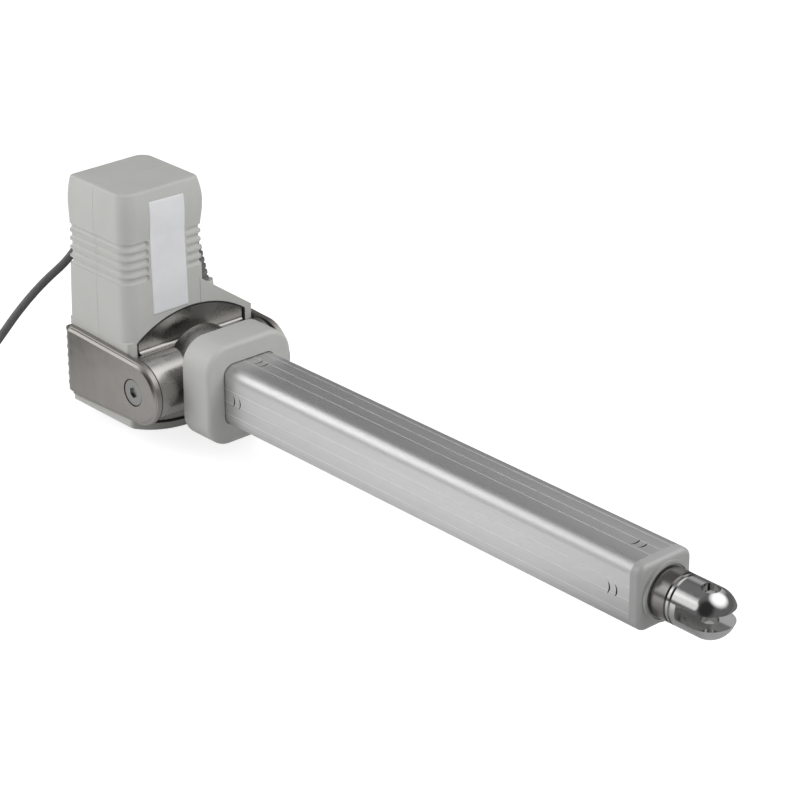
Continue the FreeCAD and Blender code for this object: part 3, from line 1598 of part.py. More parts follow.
def cable_lead():
    """Straight runs joined by arcs that are as large as the runs allow."""
    points = [relief_place("relief_boss_height + relief_height").Base]
    points += [Vector(*point) for point in CABLE_ROUTE]
    radius_share = 0.45
    edges = []
    start = points[0]
    length = 0.0
    for before, corner, after in zip(points, points[1:], points[2:]):
        back = (before - corner).normalize()
        ahead = (after - corner).normalize()
        turn = math.pi - back.getAngle(ahead)
        set_back = radius_share * min((before - corner).Length, (after - corner).Length)
        radius = set_back / math.tan(turn / 2)
        print(f"cable corner: turn {math.degrees(turn):.0f} degrees, radius {radius:.0f} mm")
        enter = corner + back * set_back
        leave = corner + ahead * set_back
        middle_way = (back + ahead).normalize()
        centre = corner + middle_way * (radius / math.cos(turn / 2))
        middle = centre - middle_way * radius
        edges += [Part.LineSegment(start, enter).toShape(), Part.Arc(enter, middle, leave).toShape()]
        length += (enter - start).Length + radius * turn
        start = leave
    edges.append(Part.LineSegment(start, points[-1]).toShape())
    length += (points[-1] - start).Length
    path = Part.Wire(edges)
    radius = number("cable_diameter") / 2
    section = Part.Wire([Part.Circle(points[0], points[1] - points[0], radius).toShape()])
    item = doc.addObject("Part::Feature", "cable_lead")
    item.Label = "cable_lead"
    item.Shape = path.makePipeShell([section], True, False)
    expected = math.pi * radius ** 2 * length
    print(f"cable lead: {length:.0f} mm, volume {item.Shape.Volume:.0f} of {expected:.0f} mm3")
    return item


def coil_centre():
    """The coil's middle lies square to the cable's last run, which runs on to the outer turn."""
    last, before = CABLE_ROUTE[-1], CABLE_ROUTE[-2]
    run = Vector(last[0] - before[0], last[1] - before[1], 0).normalize()
    return Vector(last[0], last[1], 0) + Vector(run.y, -run.x, 0) * number(OUTER_TURN)


def cable_coil():
    """Outer shape of the tied coil."""
    inner = "coil_radius - coil_width / 2"
    outer = "coil_radius + coil_width / 2"
    low, high = FLOOR, f"{FLOOR} + coil_height"
    brim = "coil_width / 4"
    profile = (
        (low, inner), (low, f"{outer} - {brim}"), (f"{low} + {brim}", outer),
        (f"{high} - {brim}", outer), (high, f"{outer} - {brim}"), (high, inner),
    )
    body = turned("cable_coil", profile, axis="Z")
    body.Placement.Base = coil_centre()
    return body


def cable_plug():
    """Round connector with a stepped tail, lying beside the coil in line with its last turn."""
    half = "plug_length / 2"
    profile = (
        (f"-{half} - plug_tail", "0"),
        (f"-{half} - plug_tail", "cable_diameter * 0.7"),
        (f"-{half}", "plug_radius * 0.75"),
        (f"-{half}", "plug_radius"),
        (f"{half} - plug_tail", "plug_radius"),
        (f"{half} - plug_tail", "plug_radius * 0.85"),
        (half, "plug_radius * 0.85"),
        (half, "0"),
    )
    body = turned("cable_plug", profile)
    ahead = number(f"plug_run + plug_tail + {half}")
    middle = coil_centre() + Vector(-number(OUTER_TURN), ahead, number(f"{FLOOR} + plug_radius"))
    body.Placement = FreeCAD.Placement(middle, FreeCAD.Rotation(Vector(0, 0, 1), 90))
    return body


def check(pieces):
    """Stops on a failed feature or a shape that isn't sound."""
    doc.recompute()
    failed = [item.Name for item in doc.Objects if {"Invalid", "Error"} & set(item.State)]
    if failed:
        raise RuntimeError(f"failed features: {failed}")
    for piece in pieces:
        shape = piece.Shape
        if shape.isNull() or not shape.isValid() or not shape.Solids:
            raise RuntimeError(f"{piece.Label} isn't a sound solid")


pieces = [
    *covers(), flange_gasket(), gear_housing(), gear_cover(), housing_screws(), rear_yoke(), yoke_bolts(),
    rear_head(), collar(), outer_tube(), end_cap(), guide_bush(), wiper_seal(), switch_board(), switches(),
    push_tube(), front_fork(), drive_nut(), guide_ring(),
    spindle(), worm_wheel(), lock_nut(), rear_bush(), bearing_balls(),
    bearing_race("bearing_inner_ring", "spindle_seat_radius", "spindle_seat_radius + bearing_ring", True),
    bearing_race("bearing_outer_ring", "bearing_radius - bearing_ring", "bearing_radius", False),
    motor_can(), motor_bush(), end_bell(), magnets(), rotor_core(), rotor_windings(), commutator(),
    brush_holder(), brushes(), worm_shaft(), worm_bush(),
    strain_relief(), cable_lead(), cable_coil(), cable_plug(),
]
check(pieces)
os.makedirs("parts", exist_ok=True)
for piece in pieces:
    piece.Shape.exportStep(f"parts/{piece.Label}.step")
    print(f"{piece.Label}: {len(piece.Shape.Solids)} solids, {piece.Shape.Volume / 1000:.1f} cm3")
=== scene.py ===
import math

import bmesh
import bpy
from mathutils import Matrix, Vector
from mathutils.bvhtree import BVHTree


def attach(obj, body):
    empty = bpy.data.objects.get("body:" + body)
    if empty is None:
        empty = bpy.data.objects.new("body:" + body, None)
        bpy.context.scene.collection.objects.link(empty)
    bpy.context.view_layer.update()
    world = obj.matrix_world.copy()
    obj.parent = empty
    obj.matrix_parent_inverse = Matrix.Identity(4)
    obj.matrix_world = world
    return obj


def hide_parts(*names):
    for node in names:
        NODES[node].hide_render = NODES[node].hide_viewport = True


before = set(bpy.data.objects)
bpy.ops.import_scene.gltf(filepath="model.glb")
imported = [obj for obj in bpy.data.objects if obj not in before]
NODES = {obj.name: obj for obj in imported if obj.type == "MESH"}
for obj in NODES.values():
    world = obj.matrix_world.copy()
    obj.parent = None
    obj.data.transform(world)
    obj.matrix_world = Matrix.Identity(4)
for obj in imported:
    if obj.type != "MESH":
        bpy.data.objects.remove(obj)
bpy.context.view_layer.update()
SCENE = bpy.context.scene
MM = 0.001
# Height of the floor, in millimetres and in metres
FLOOR = -43.5
FLOOR_Z = FLOOR * MM


# Small helpers

def link(item):
    SCENE.collection.objects.link(item)
    return item


def mesh_piece(name, verts, faces, smooth=True):
    mesh = bpy.data.meshes.new(name)
    mesh.from_pydata([tuple(v) for v in verts], [], faces)
    mesh.validate()
    for polygon in mesh.polygons:
        polygon.use_smooth = smooth
    return link(bpy.data.objects.new(name, mesh))


def mm(*numbers):
    """A place or a direction given in millimetres."""
    return Vector(numbers) * MM


def heading(bearing, height):
    """Direction of length one at a bearing and a height in radians."""
    level = math.cos(height)
    return Vector((math.cos(bearing) * level, math.sin(bearing) * level, math.sin(height)))


# Camera: the photograph's angle and lens

AZIMUTH, ELEVATION = math.radians(47.8497), math.radians(24.9603)
EYE = Vector((1.40577, -1.02044, 0.74750))
BACK = Vector((
    math.sin(AZIMUTH) * math.cos(ELEVATION),
    -math.cos(AZIMUTH) * math.cos(ELEVATION),
    math.sin(ELEVATION),
))
camera_data = bpy.data.cameras.new("photo_camera")
camera_data.sensor_width = 36
camera_data.lens = 128.84
camera_data.clip_start = 0.05
camera_data.clip_end = 50
camera = link(bpy.data.objects.new("photo_camera", camera_data))
camera.location = EYE
camera.rotation_mode = "QUATERNION"
camera.rotation_quaternion = (-BACK).to_track_quat("-Z", "Y")
SCENE.camera = camera


# Procedural materials

NOISE_ROUGHNESS = 0.55


class Nodes:
    """A material's node tree with short ways to add nodes and links."""

    def __init__(self, name):
        self.material = bpy.data.materials.new(name)
        self.material.use_nodes = True
        self.tree = self.material.node_tree
        self.shader = self.tree.nodes["Principled BSDF"]
        self.out = self.tree.nodes["Material Output"]
        self.place = self.add("ShaderNodeTexCoord").outputs["Object"]

    def add(self, kind, **settings):
        node = self.tree.nodes.new(kind)
        for key, value in settings.items():
            setattr(node, key, value)
        return node

    def link(self, source, target):
        self.tree.links.new(source, target)

    def noise(self, size, detail=3.0, stretch=(1, 1, 1), distort=0.0):
        """Noise whose blotches measure about size metres, longer where stretch is above one."""
        turn = self.add("ShaderNodeMapping")
        turn.inputs["Scale"].default_value = tuple(1 / part for part in stretch)
        self.link(self.place, turn.inputs["Vector"])
        made = self.add("ShaderNodeTexNoise")
        made.inputs["Scale"].default_value = 1 / size
        made.inputs["Detail"].default_value = detail
        made.inputs["Roughness"].default_value = NOISE_ROUGHNESS
        made.inputs["Distortion"].default_value = distort
        self.link(turn.outputs["Vector"], made.inputs["Vector"])
        return made.outputs["Fac"]

    def across_and_up(self):
        """Signed distances from the X axis, across and up."""
        place = self.add("ShaderNodeSeparateXYZ")
        self.link(self.place, place.inputs[0])
        return place.outputs["Y"], place.outputs["Z"]

    def span(self, value, low, high, start=0.25, end=0.75):
        """Value between a start and an end, spread from low to high."""
        made = self.add("ShaderNodeMapRange")
        made.inputs["From Min"].default_value = start
        made.inputs["From Max"].default_value = end
        made.inputs["To Min"].default_value = low
        made.inputs["To Max"].default_value = high
        self.link(value, made.inputs["Value"])
        return made.outputs["Result"]

    def mix(self, share, first, second):
        """Colour between two colours, or colour outputs, by a share from 0 to 1."""
        made = self.add("ShaderNodeMix", data_type="RGBA")
        for socket, colour in ((made.inputs[6], first), (made.inputs[7], second)):
            if isinstance(colour, tuple):
                socket.default_value = (*colour, 1)
            else:
                self.link(colour, socket)
        self.link(share, made.inputs[0])
        return made.outputs[2]

    def math(self, operation, *values):
        """Result of one operation on numbers or outputs."""
        made = self.add("ShaderNodeMath", operation=operation)
        for value, socket in zip(values, made.inputs):
            if isinstance(value, (int, float)):
                socket.default_value = value
            else:
                self.link(value, socket)
        return made.outputs[0]

    def bump(self, height, depth, under=None):
        """Normal bent by a height, over another bump where one is given."""
        made = self.add("ShaderNodeBump")
        made.inputs["Strength"].default_value = 1
        made.inputs["Distance"].default_value = depth
        self.link(height, made.inputs["Height"])
        if under is not None:
            self.link(under, made.inputs["Normal"])
        return made.outputs["Normal"]

    def finish(self, colour, rough, normal, metallic=0.0, **plain):
        """The material, with its shader's inputs linked and its plain values set."""
        self.link(colour, self.shader.inputs["Base Color"])
        self.link(rough, self.shader.inputs["Roughness"])
        self.link(normal, self.shader.inputs["Normal"])
        self.shader.inputs["Metallic"].default_value = metallic
        for key, value in plain.items():
            self.shader.inputs[key.replace("_", " ")].default_value = value
        return self.material


def shades(colour, drift):
    """A darker and a lighter neighbour of a colour."""
    return tuple(c * (1 - drift) for c in colour), tuple(c * (1 + drift) for c in colour)


def plastic(
    name, colour, rough=(0.40, 0.52), grain=0.45 * MM, depth=0.012 * MM, drift=0.03, gloss=0.42
):
    """Moulded plastic with an eroded grain, faint flow shading and handling marks."""
    n = Nodes(name)
    flow = n.noise(28 * MM, 4, (1, 1, 2.4), distort=0.6)
    fine = n.noise(grain, 2.5)
    low, high = shades(colour, drift)
    tint = n.mix(n.span(flow, 0, 1, 0.3, 0.7), low, high)
    speckle = n.mix(n.span(fine, 0, 0.10, 0.45, 0.75), tint, tuple(c * 0.8 for c in colour))
    worn = n.noise(9 * MM, 5)
    return n.finish(speckle, n.span(worn, *rough), n.bump(fine, depth), Specular_IOR_Level=gloss)


def casting(name, colour, rough=(0.30, 0.46), grain=0.55 * MM, depth=0.014 * MM):
    """Bead-blasted die casting: satin, with cloudy patches and fine pits."""
    n = Nodes(name)
    cloud = n.noise(16 * MM, 5, distort=0.8)
    fine = n.noise(grain, 3)
    pits = n.noise(1.4 * MM, 2)
    low, high = shades(colour, 0.10)
    tint = n.mix(n.span(cloud, 0, 1, 0.3, 0.7), low, high)
    spotted = n.mix(n.span(pits, 0, 0.25, 0.62, 0.78), tint, tuple(c * 0.55 for c in colour))
    normal = n.bump(pits, depth * 0.8, n.bump(fine, depth))
    return n.finish(spotted, n.span(cloud, *rough), normal, metallic=1.0)


# The fine lines along the tube: spacing, width, and the middle one's place on the top and the left face
LINE_PITCH, LINE_WIDTH = 8.25 * MM, 0.55 * MM
LINE_TOP, LINE_LEFT = 3.5 * MM, -2.2 * MM
TUBE_FACE = 20.0 * MM
# How far the lines cover the metal, their colour, lighter than the metal as a painted glint on the fine
# grooves, and how much duller they are
LINE_GLINT_COVER, LINE_GLINT_COLOUR, LINE_DULL = 0.85, (0.93, 0.93, 0.93), 0.2
# Where the slits begin below the faces and half the faces' flat width; how far the painted shade on the slits'
# walls covers the metal, and its colour
SLIT_TOP, FLAT_HALF = 20.24 * MM, 14 * MM
SLIT_SHADE_COVER, SLIT_SHADE_COLOUR = 0.85, (0.06, 0.06, 0.06)
# Curve of the tube's faces as light shows it, in 1/m: a tilt of about sixteen degrees at their edges
CROWN = 7.0


def tube_lines(n):
    """One on the fine lines along the tube's four faces, zero elsewhere."""
    across, up = n.across_and_up()
    found = []
    for along, other, turn, middle in ((across, up, 1, LINE_TOP), (up, across, -1, LINE_LEFT)):
        signed = n.math("MULTIPLY", along, n.math("MULTIPLY", n.math("SIGN", other), turn))
        steps = n.math("DIVIDE", n.math("SUBTRACT", signed, middle), LINE_PITCH)
        off = n.math("ABSOLUTE", n.math("SUBTRACT", steps, n.math("ROUND", steps)))
        near = n.math("LESS_THAN", off, LINE_WIDTH / 2 / LINE_PITCH)
        one_of_three = n.math("LESS_THAN", n.math("ABSOLUTE", steps), 1.5)
        on_face = n.math("GREATER_THAN", n.math("ABSOLUTE", other), TUBE_FACE)
        found.append(n.math("MULTIPLY", n.math("MULTIPLY", near, one_of_three), on_face))
    return n.math("MAXIMUM", *found)


def slit_shade_mask(n):
    """One inside the staking slits, below the tube's flat faces, zero elsewhere: where the slits' painted shade
    goes.
    """
    across, up = (n.math("ABSOLUTE", part) for part in n.across_and_up())
    below = n.math("LESS_THAN", n.math("MAXIMUM", across, up), SLIT_TOP)
    on_flat = n.math("LESS_THAN", n.math("MINIMUM", across, up), FLAT_HALF)
    return n.math("MULTIPLY", below, on_flat)


def crown(n):
    """Height that falls off from the tube's axis, so that light shades across each flat face."""
    squares = [n.math("MULTIPLY", part, part) for part in n.across_and_up()]
    return n.math("MULTIPLY", n.math("ADD", *squares), -CROWN)


def drawn_metal(
    name, colour, rough=(0.24, 0.36), streak=0.5 * MM, depth=0.004 * MM, drift=0.06, lined=False
):
    """Drawn or turned metal with streaks along X; lined for the tube, with its lines, drawn lighter as a
    painted glint, and painted shade in its slits.
    """
    n = Nodes(name)
    streaks = n.noise(streak, 3, (220, 1, 1))
    hair = n.noise(streak * 0.35, 2, (30, 1, 1))
    cloud = n.noise(40 * MM, 3, (4, 1, 1))
    low, high = shades(colour, drift)
    tint = n.mix(n.span(streaks, 0, 1, 0.35, 0.65), low, high)
    clouded = n.mix(n.span(cloud, 0, 0.30, 0.3, 0.7), tint, tuple(c * 0.86 for c in colour))
    normal = n.bump(hair, depth * 0.6, n.bump(streaks, depth))
    sheen = n.span(hair, *rough)
    if lined:
        lines = tube_lines(n)
        # The fine lines drawn lighter than the metal: a painted glint on the grooves cut along the tube
        clouded = n.mix(n.math("MULTIPLY", lines, LINE_GLINT_COVER), clouded, LINE_GLINT_COLOUR)
        sheen = n.math("ADD", sheen, n.math("MULTIPLY", lines, LINE_DULL))
        # Painted shade: the slits' walls drawn near black, where shade falls inside them
        clouded = n.mix(n.math("MULTIPLY", slit_shade_mask(n), SLIT_SHADE_COVER), clouded, SLIT_SHADE_COLOUR)
        normal = n.bump(crown(n), 1.0, normal)
    return n.finish(clouded, sheen, normal, metallic=1.0)


def polished(name, colour, rough=(0.07, 0.16), depth=0.0016 * MM):
    """Bright plating with hairline scratches and a slight haze."""
    n = Nodes(name)
    haze = n.noise(7 * MM, 5, distort=1.0)
    hair = n.noise(0.22 * MM, 2, (1, 26, 1))
    low, high = shades(colour, 0.05)
    tint = n.mix(n.span(haze, 0, 1, 0.3, 0.7), low, high)
    normal = n.bump(hair, depth, n.bump(haze, depth * 6))
    return n.finish(tint, n.span(haze, *rough, 0.35, 0.75), normal, metallic=1.0)


def rubber(name, colour, rough=(0.55, 0.75)):
    """Soft black or grey rubber with bloom."""
    n = Nodes(name)
    bloom = n.noise(5 * MM, 5)
    fine = n.noise(0.3 * MM, 3)
    low, high = shades(colour, 0.16)
    tint = n.mix(n.span(bloom, 0, 1, 0.3, 0.75), low, high)
    return n.finish(tint, n.span(bloom, *rough), n.bump(fine, 0.012 * MM), Specular_IOR_Level=0.35)


# Material of each slot
LOOKS = {
    "cover_plastic": plastic("grained_cover_plastic", (0.500, 0.500, 0.482)),
    "cast_alloy": casting("blasted_cast_alloy", (0.345, 0.330, 0.312)),
    "tube_alloy": drawn_metal(
        "drawn_tube_alloy", (0.71, 0.71, 0.715), (0.38, 0.50), depth=0.0025 * MM, drift=0.03, lined=True
    ),
    "chrome_steel": polished("plated_chrome_steel", (0.56, 0.56, 0.556)),
    "steel": casting("zinc_plated_steel", (0.50, 0.49, 0.47), (0.24, 0.36), 0.3 * MM, 0.006 * MM),
    "core_steel": drawn_metal("laminated_core_steel", (0.30, 0.30, 0.31), (0.35, 0.5)),
    "bronze": drawn_metal("sintered_bronze", (0.55, 0.36, 0.17), (0.3, 0.45)),
    "copper": drawn_metal("enamelled_copper", (0.62, 0.26, 0.12), (0.22, 0.34)),
    "magnet": rubber("ferrite_magnet", (0.045, 0.045, 0.048)),
    "dark_plastic": plastic("dark_moulded_plastic", (0.05, 0.05, 0.052)),
    "white_plastic": plastic("acetal_plastic", (0.72, 0.71, 0.68), (0.32, 0.42)),
    "board": plastic("circuit_board", (0.03, 0.16, 0.07), (0.3, 0.4)),
    "seal_rubber": rubber("seal_rubber", (0.028, 0.028, 0.029)),
    "cable_sheath": rubber("cable_sheath", (0.125, 0.125, 0.125), (0.42, 0.58)),
}

# Nodes that look different from the rest of their material
OWN_LOOKS = {
    "push_tube": casting("satin_push_tube", (0.285, 0.276, 0.266), (0.17, 0.28), 0.35 * MM, 0.006 * MM),
    "gear_housing": casting("housing_cast_alloy", (0.410, 0.402, 0.386), (0.20, 0.34), 0.6 * MM, 0.018 * MM),
    "end_cap": plastic("darker_cap_plastic", (0.362, 0.364, 0.360), (0.28, 0.38), gloss=0.7),
    "yoke_bolts": casting("dull_zinc_bolt", (0.33, 0.335, 0.325), (0.34, 0.48), 0.3 * MM, 0.006 * MM),
    "wiper_seal": rubber("grey_wiper", (0.42, 0.42, 0.41)),
    "strain_relief": rubber("grey_relief", (0.150, 0.150, 0.148), (0.45, 0.6)),
}


def dress(piece, slot):
    """The piece, with its slot's material alone."""
    piece.data.materials.clear()
    piece.data.materials.append(LOOKS[slot])
    return piece


for name, node in NODES.items():
    dress(node, node.data.materials[0].name.split(".")[0])
    if name in OWN_LOOKS:
        node.data.materials[0] = OWN_LOOKS[name]


# Cable: one smooth line from the strain relief over the back to the coil and the plug

# Thickness, where it leaves the strain relief, and its way to the coil
CABLE = 5.5 * MM
EXIT = mm(59.06, 22.5, 65.57)
ROUTE = (
    (56.5, 22.5, 80.3), (47.8, 22.6, 93.5), (34.6, 23.1, 102.1), (19.4, 18.2, 103.9),
    (6.1, 10.8, 99.0), (-3.4, 1.9, 87.3), (-10.8, -7.9, 70.3), (-14.5, -22.8, 47.6),
    (-20.0, -41.4, 34.2), (-24.5, -59.0, 17.5), (-29.0, -75.0, -2.5), (-33.5, -91.0, -20.5),
    (-39.0, -110.0, -34.0), (-45.0, -131.0, -39.8), (-51.0, -152.0, -40.3),
)
# The coil in millimetres and degrees: its middle, where the cable meets it, the radius of the outer and inner
# turns, the height of both layers, the angle between control points and the angle turned in all
COIL_CENTRE = Vector((-82.489, -143.003, 0))
COIL_ENTRY = -15.945
OUTER, INNER = 32.75, 27.25
LAYER_ONE, LAYER_TWO = -40.05, -34.45
COIL_STEP = 20
COIL_END = 1244.06
# Angle turned so far, radius and height at each change of the winding
WINDING = (
    (0, OUTER, LAYER_ONE), (290, OUTER, LAYER_ONE), (360, INNER, LAYER_ONE), (580, INNER, LAYER_ONE),
    (650, INNER, LAYER_TWO), (860, INNER, LAYER_TWO), (930, OUTER, LAYER_TWO), (COIL_END, OUTER, LAYER_TWO),
)
# The plug's radius, and how far past the coil's middle it begins; where the cable bends down to it, and how far
# above halfway
PLUG_RADIUS, PLUG_RUN = 6.5, 14.0
BEND_RUN, BEND_LIFT = 4.5, 0.4
PLUG_X = COIL_CENTRE.x - OUTER
PLUG_AXIS_Z = FLOOR + PLUG_RADIUS
PLUG_START = mm(PLUG_X, COIL_CENTRE.y + PLUG_RUN, PLUG_AXIS_Z)


def eased(share):
    """A share from 0 to 1 that starts and ends softly."""
    return share * share * (3 - 2 * share)


def wound(turned):
    """Radius and height of the winding after an angle turned."""
    for (start, r0, z0), (end, r1, z1) in zip(WINDING, WINDING[1:]):
        if turned <= end:
            share = eased((turned - start) / (end - start))
            return r0 + (r1 - r0) * share, z0 + (z1 - z0) * share
    return WINDING[-1][1:]


def coil_points():
    """Control points of the coil, a little outside the line that they draw."""
    spare = 1 / math.cos(math.radians(COIL_STEP / 2))
    count = int(COIL_END // COIL_STEP)
    for step in range(1, count + 1):
        turned = step * COIL_STEP
        radius, height = wound(turned)
        angle = math.radians(COIL_ENTRY - turned)
        out = Vector((math.cos(angle), math.sin(angle), 0)) * radius * spare
        yield COIL_CENTRE + out + Vector((0, 0, height))


cable_points = [EXIT, *(mm(*point) for point in ROUTE), *(point * MM for point in coil_points())]
cable_points.append(mm(PLUG_X, COIL_CENTRE.y + BEND_RUN, (LAYER_TWO + PLUG_AXIS_Z) / 2 + BEND_LIFT))
cable_points.append(PLUG_START)
cable_curve = bpy.data.curves.new("cable", "CURVE")
cable_curve.dimensions = "3D"
cable_curve.bevel_depth = CABLE / 2
cable_curve.bevel_resolution = 5
cable_curve.resolution_u = 8
cable_curve.use_fill_caps = True
spline = cable_curve.splines.new("NURBS")
spline.points.add(len(cable_points) - 1)
for knot, point in zip(spline.points, cable_points):
    knot.co = (*point, 1)
spline.order_u = 3
spline.use_endpoint_u = True
cable = link(bpy.data.objects.new("cable", cable_curve))
dress(cable, "cable_sheath")
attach(cable, "frame")
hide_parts("cable_lead", "cable_coil")


# Turned forms

def lathe(name, profile, start, direction, steps=48):
    """A closed turned piece: profile rows of distance along the axis and radius, in millimetres."""
    axis = direction.normalized()
    side = axis.orthogonal().normalized()
    other = axis.cross(side)
    verts, faces = [], []
    for along, radius in profile:
        for step in range(steps):
            angle = 2 * math.pi * step / steps
            out = side * math.cos(angle) + other * math.sin(angle)
            verts.append(start + axis * along * MM + out * radius * MM)
    for row in range(len(profile) - 1):
        for step in range(steps):
            after = (step + 1) % steps
            a, b = row * steps, (row + 1) * steps
            faces.append((a + step, a + after, b + after, b + step))
    faces.append(tuple(reversed(range(steps))))
    last = (len(profile) - 1) * steps
    faces.append(tuple(last + step for step in range(steps)))
    return mesh_piece(name, verts, faces)


def sharp(piece, degrees=35):
    """Smooth shading that breaks at edges sharper than an angle."""
    piece.data.set_sharp_from_angle(angle=math.radians(degrees))
    return piece


# Plug: moulded body with grip rings, a locking collar and five pins in its shell

# Rows of distance along the plug and radius in millimetres. The tail has ringed grooves that grow towards the
# body; the body's grip, collar and shell are measured from the tail's end
PLUG_TAIL = 9.0
TAIL_START = ((0, 3.2), (0.5, 3.7))
TAIL_GROOVE = ((0, 3.8), (0.3, 3.3), (1.0, 3.3), (1.3, 3.95))
TAIL_RINGS, TAIL_FIRST, TAIL_PITCH, TAIL_GROWTH = 3, 1.6, 2.2, 0.25
BODY_START = ((-1, 4.6), (0, 5.2), (1.2, 6.0))
GRIP_GROOVE = ((0, 6.2), (0.35, 5.75), (0.85, 5.75), (1.2, 6.2))
GRIP_RINGS, GRIP_FIRST, GRIP_PITCH = 6, 2.4, 2.0
COLLAR_AND_SHELL = (
    (16, 6.2), (16.3, 6.5), (20.5, 6.5), (20.9, 5.7), (33.5, 5.7), (34, 5.4), (34, 4.7), (27, 4.6)
)
# Pins: their number, the circle they stand on, the first one's angle and the step, and where they are seated
PIN_COUNT, PIN_CIRCLE, PIN_FIRST, PIN_STEP, PIN_SEAT = 5, 2.7, 54, 63, 26.5
PIN_PROFILE = ((0, 0.5), (5.2, 0.5), (5.7, 0.36), (6.0, 0.12))


def moved(rows, along, wider=0.0):
    """Profile rows moved along and made wider."""
    return [(at + along, radius + wider) for at, radius in rows]


def plug_profile():
    rows = [*TAIL_START]
    for ring in range(TAIL_RINGS):
        rows += moved(TAIL_GROOVE, TAIL_FIRST + ring * TAIL_PITCH, ring * TAIL_GROWTH)
    rows += moved(BODY_START, PLUG_TAIL)
    for ring in range(GRIP_RINGS):
        rows += moved(GRIP_GROOVE, PLUG_TAIL + GRIP_FIRST + ring * GRIP_PITCH)
    return rows + moved(COLLAR_AND_SHELL, PLUG_TAIL)


plug_along = Vector((0, 1, 0))
plug = sharp(lathe("cable_connector", plug_profile(), PLUG_START, plug_along))
dress(plug, "dark_plastic")
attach(plug, "frame")
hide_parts("cable_plug")
for number in range(PIN_COUNT):
    angle = math.radians(PIN_FIRST + number * PIN_STEP)
    seat = mm(math.cos(angle) * PIN_CIRCLE, PLUG_TAIL + PIN_SEAT, math.sin(angle) * PIN_CIRCLE)
    pin = lathe(f"connector_pin_{number + 1}", PIN_PROFILE, PLUG_START + seat, plug_along, steps=16)
    sharp(pin, degrees=50)
    dress(pin, "bronze")
    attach(pin, "frame")


# Tie round the coil's four strands, in millimetres and degrees

TIE_BEARING, TIE_THICK, TIE_HALF_WIDE, TIE_STEPS = -62, 0.55, 2.0, 8
# From the middle of the four strands to theirs, outwards and up, and the radius of the tie's inner corners
STRAND_OUT, STRAND_UP, STRAND_RADIUS = 2.75, 2.8, 2.75


def coil_tie():
    """A flat band with rounded corners; each step has four corners, inside and outside on both edges."""
    bearing = math.radians(TIE_BEARING)
    out = Vector((math.cos(bearing), math.sin(bearing), 0))
    along = Vector((-math.sin(bearing), math.cos(bearing), 0))
    up = Vector((0, 0, 1))
    middle = (COIL_CENTRE + out * (OUTER + INNER) / 2 + up * (LAYER_ONE + LAYER_TWO) / 2) * MM
    count = 4 * (TIE_STEPS + 1)
    verts, faces = [], []
    for index in range(count):
        corner, step = divmod(index, TIE_STEPS + 1)
        turn = math.pi / 2 * (corner + step / TIE_STEPS)
        outer = 1 if corner in (0, 3) else -1
        upper = 1 if corner in (0, 1) else -1
        for reach in (STRAND_RADIUS, STRAND_RADIUS + TIE_THICK):
            u = outer * STRAND_OUT + math.cos(turn) * reach
            v = upper * STRAND_UP + math.sin(turn) * reach
            for side in (-TIE_HALF_WIDE, TIE_HALF_WIDE):
                verts.append(middle + (out * u + up * v + along * side) * MM)
        a, b = index * 4, (index + 1) % count * 4
        faces += [
            (a, a + 1, b + 1, b), (a + 2, b + 2, b + 3, a + 3),
            (a, b, b + 2, a + 2), (a + 1, a + 3, b + 3, b + 1),
        ]
    return sharp(mesh_piece("coil_tie", verts, faces), degrees=40)


tie = dress(coil_tie(), "dark_plastic")
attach(tie, "frame")


# Swept trim

QUARTER = math.pi / 2


def arc(centre, radius, start, end, steps):
    """Points on an arc between two angles in radians."""
    for step in range(steps + 1):
        angle = start + (end - start) * step / steps
        yield Vector(centre) + Vector((math.cos(angle), math.sin(angle))) * radius


def swept(name, edge, section, place, closed=False, flip=False):
    """A section swept along a flat edge that turns left.

    The section's rows are a distance inwards from the edge and a level. place makes a point from two places in
    the edge's plane and a level. A piece that isn't closed ends in two flat faces.
    """
    count, rows = len(edge), len(section)
    verts, faces = [], []
    for index, point in enumerate(edge):
        before, after = index - 1, (index + 1) % count
        if not closed:
            before, after = max(index - 1, 0), min(index + 1, count - 1)
        way = edge[after] - edge[before]
        inward = Vector((-way.y, way.x)).normalized()
        for inset, level in section:
            verts.append(place(*(point + inward * inset), level))
    for index in range(count if closed else count - 1):
        a, b = index * rows, (index + 1) % count * rows
        for row in range(rows):
            other = (row + 1) % rows
            faces.append((a + row, a + other, b + other, b + row))
    if not closed:
        last = rows * (count - 1)
        faces += [tuple(reversed(range(rows))), tuple(range(last, last + rows))]
    if flip:
        faces = [face[::-1] for face in faces]
    return sharp(mesh_piece(name, verts, faces), degrees=30)


# Lips along the edges of the yoke's arms, on the solid's bevel, in millimetres

ARM_FACE, ARM_BEVEL = 55.0, 2.7
ARM_BACK, ARM_TAPER, ARM_NOSE = 24.7, 31.2, 93.0
ARM_REAR_HALF, ARM_NOSE_RADIUS, ARM_HEIGHT = 23.5, 21.0, -3.0
LIP_REACH, LIP_ROUND, LIP_SUNK = 1.4, 0.3, 0.05


def arm_edge():
    """Edge of an arm from the rear below, round the nose to the rear above: places along and up."""
    low, high = ARM_HEIGHT - ARM_REAR_HALF, ARM_HEIGHT + ARM_REAR_HALF
    return [
        Vector((ARM_BACK, low)), Vector((ARM_TAPER, low)),
        *arc((ARM_NOSE, ARM_HEIGHT), ARM_NOSE_RADIUS, -QUARTER, QUARTER, steps=48),
        Vector((ARM_TAPER, high)), Vector((ARM_BACK, high)),
    ]


def arm_lip(name, side):
    foot = ARM_FACE - ARM_BEVEL
    section = (
        (0, foot - LIP_SUNK), (0, foot + LIP_REACH - LIP_ROUND),
        (LIP_ROUND, foot + LIP_REACH), (LIP_REACH + LIP_SUNK, foot + LIP_REACH),
    )
    return swept(name, arm_edge(), section, lambda x, z, y: mm(x, side * y, z), flip=side < 0)


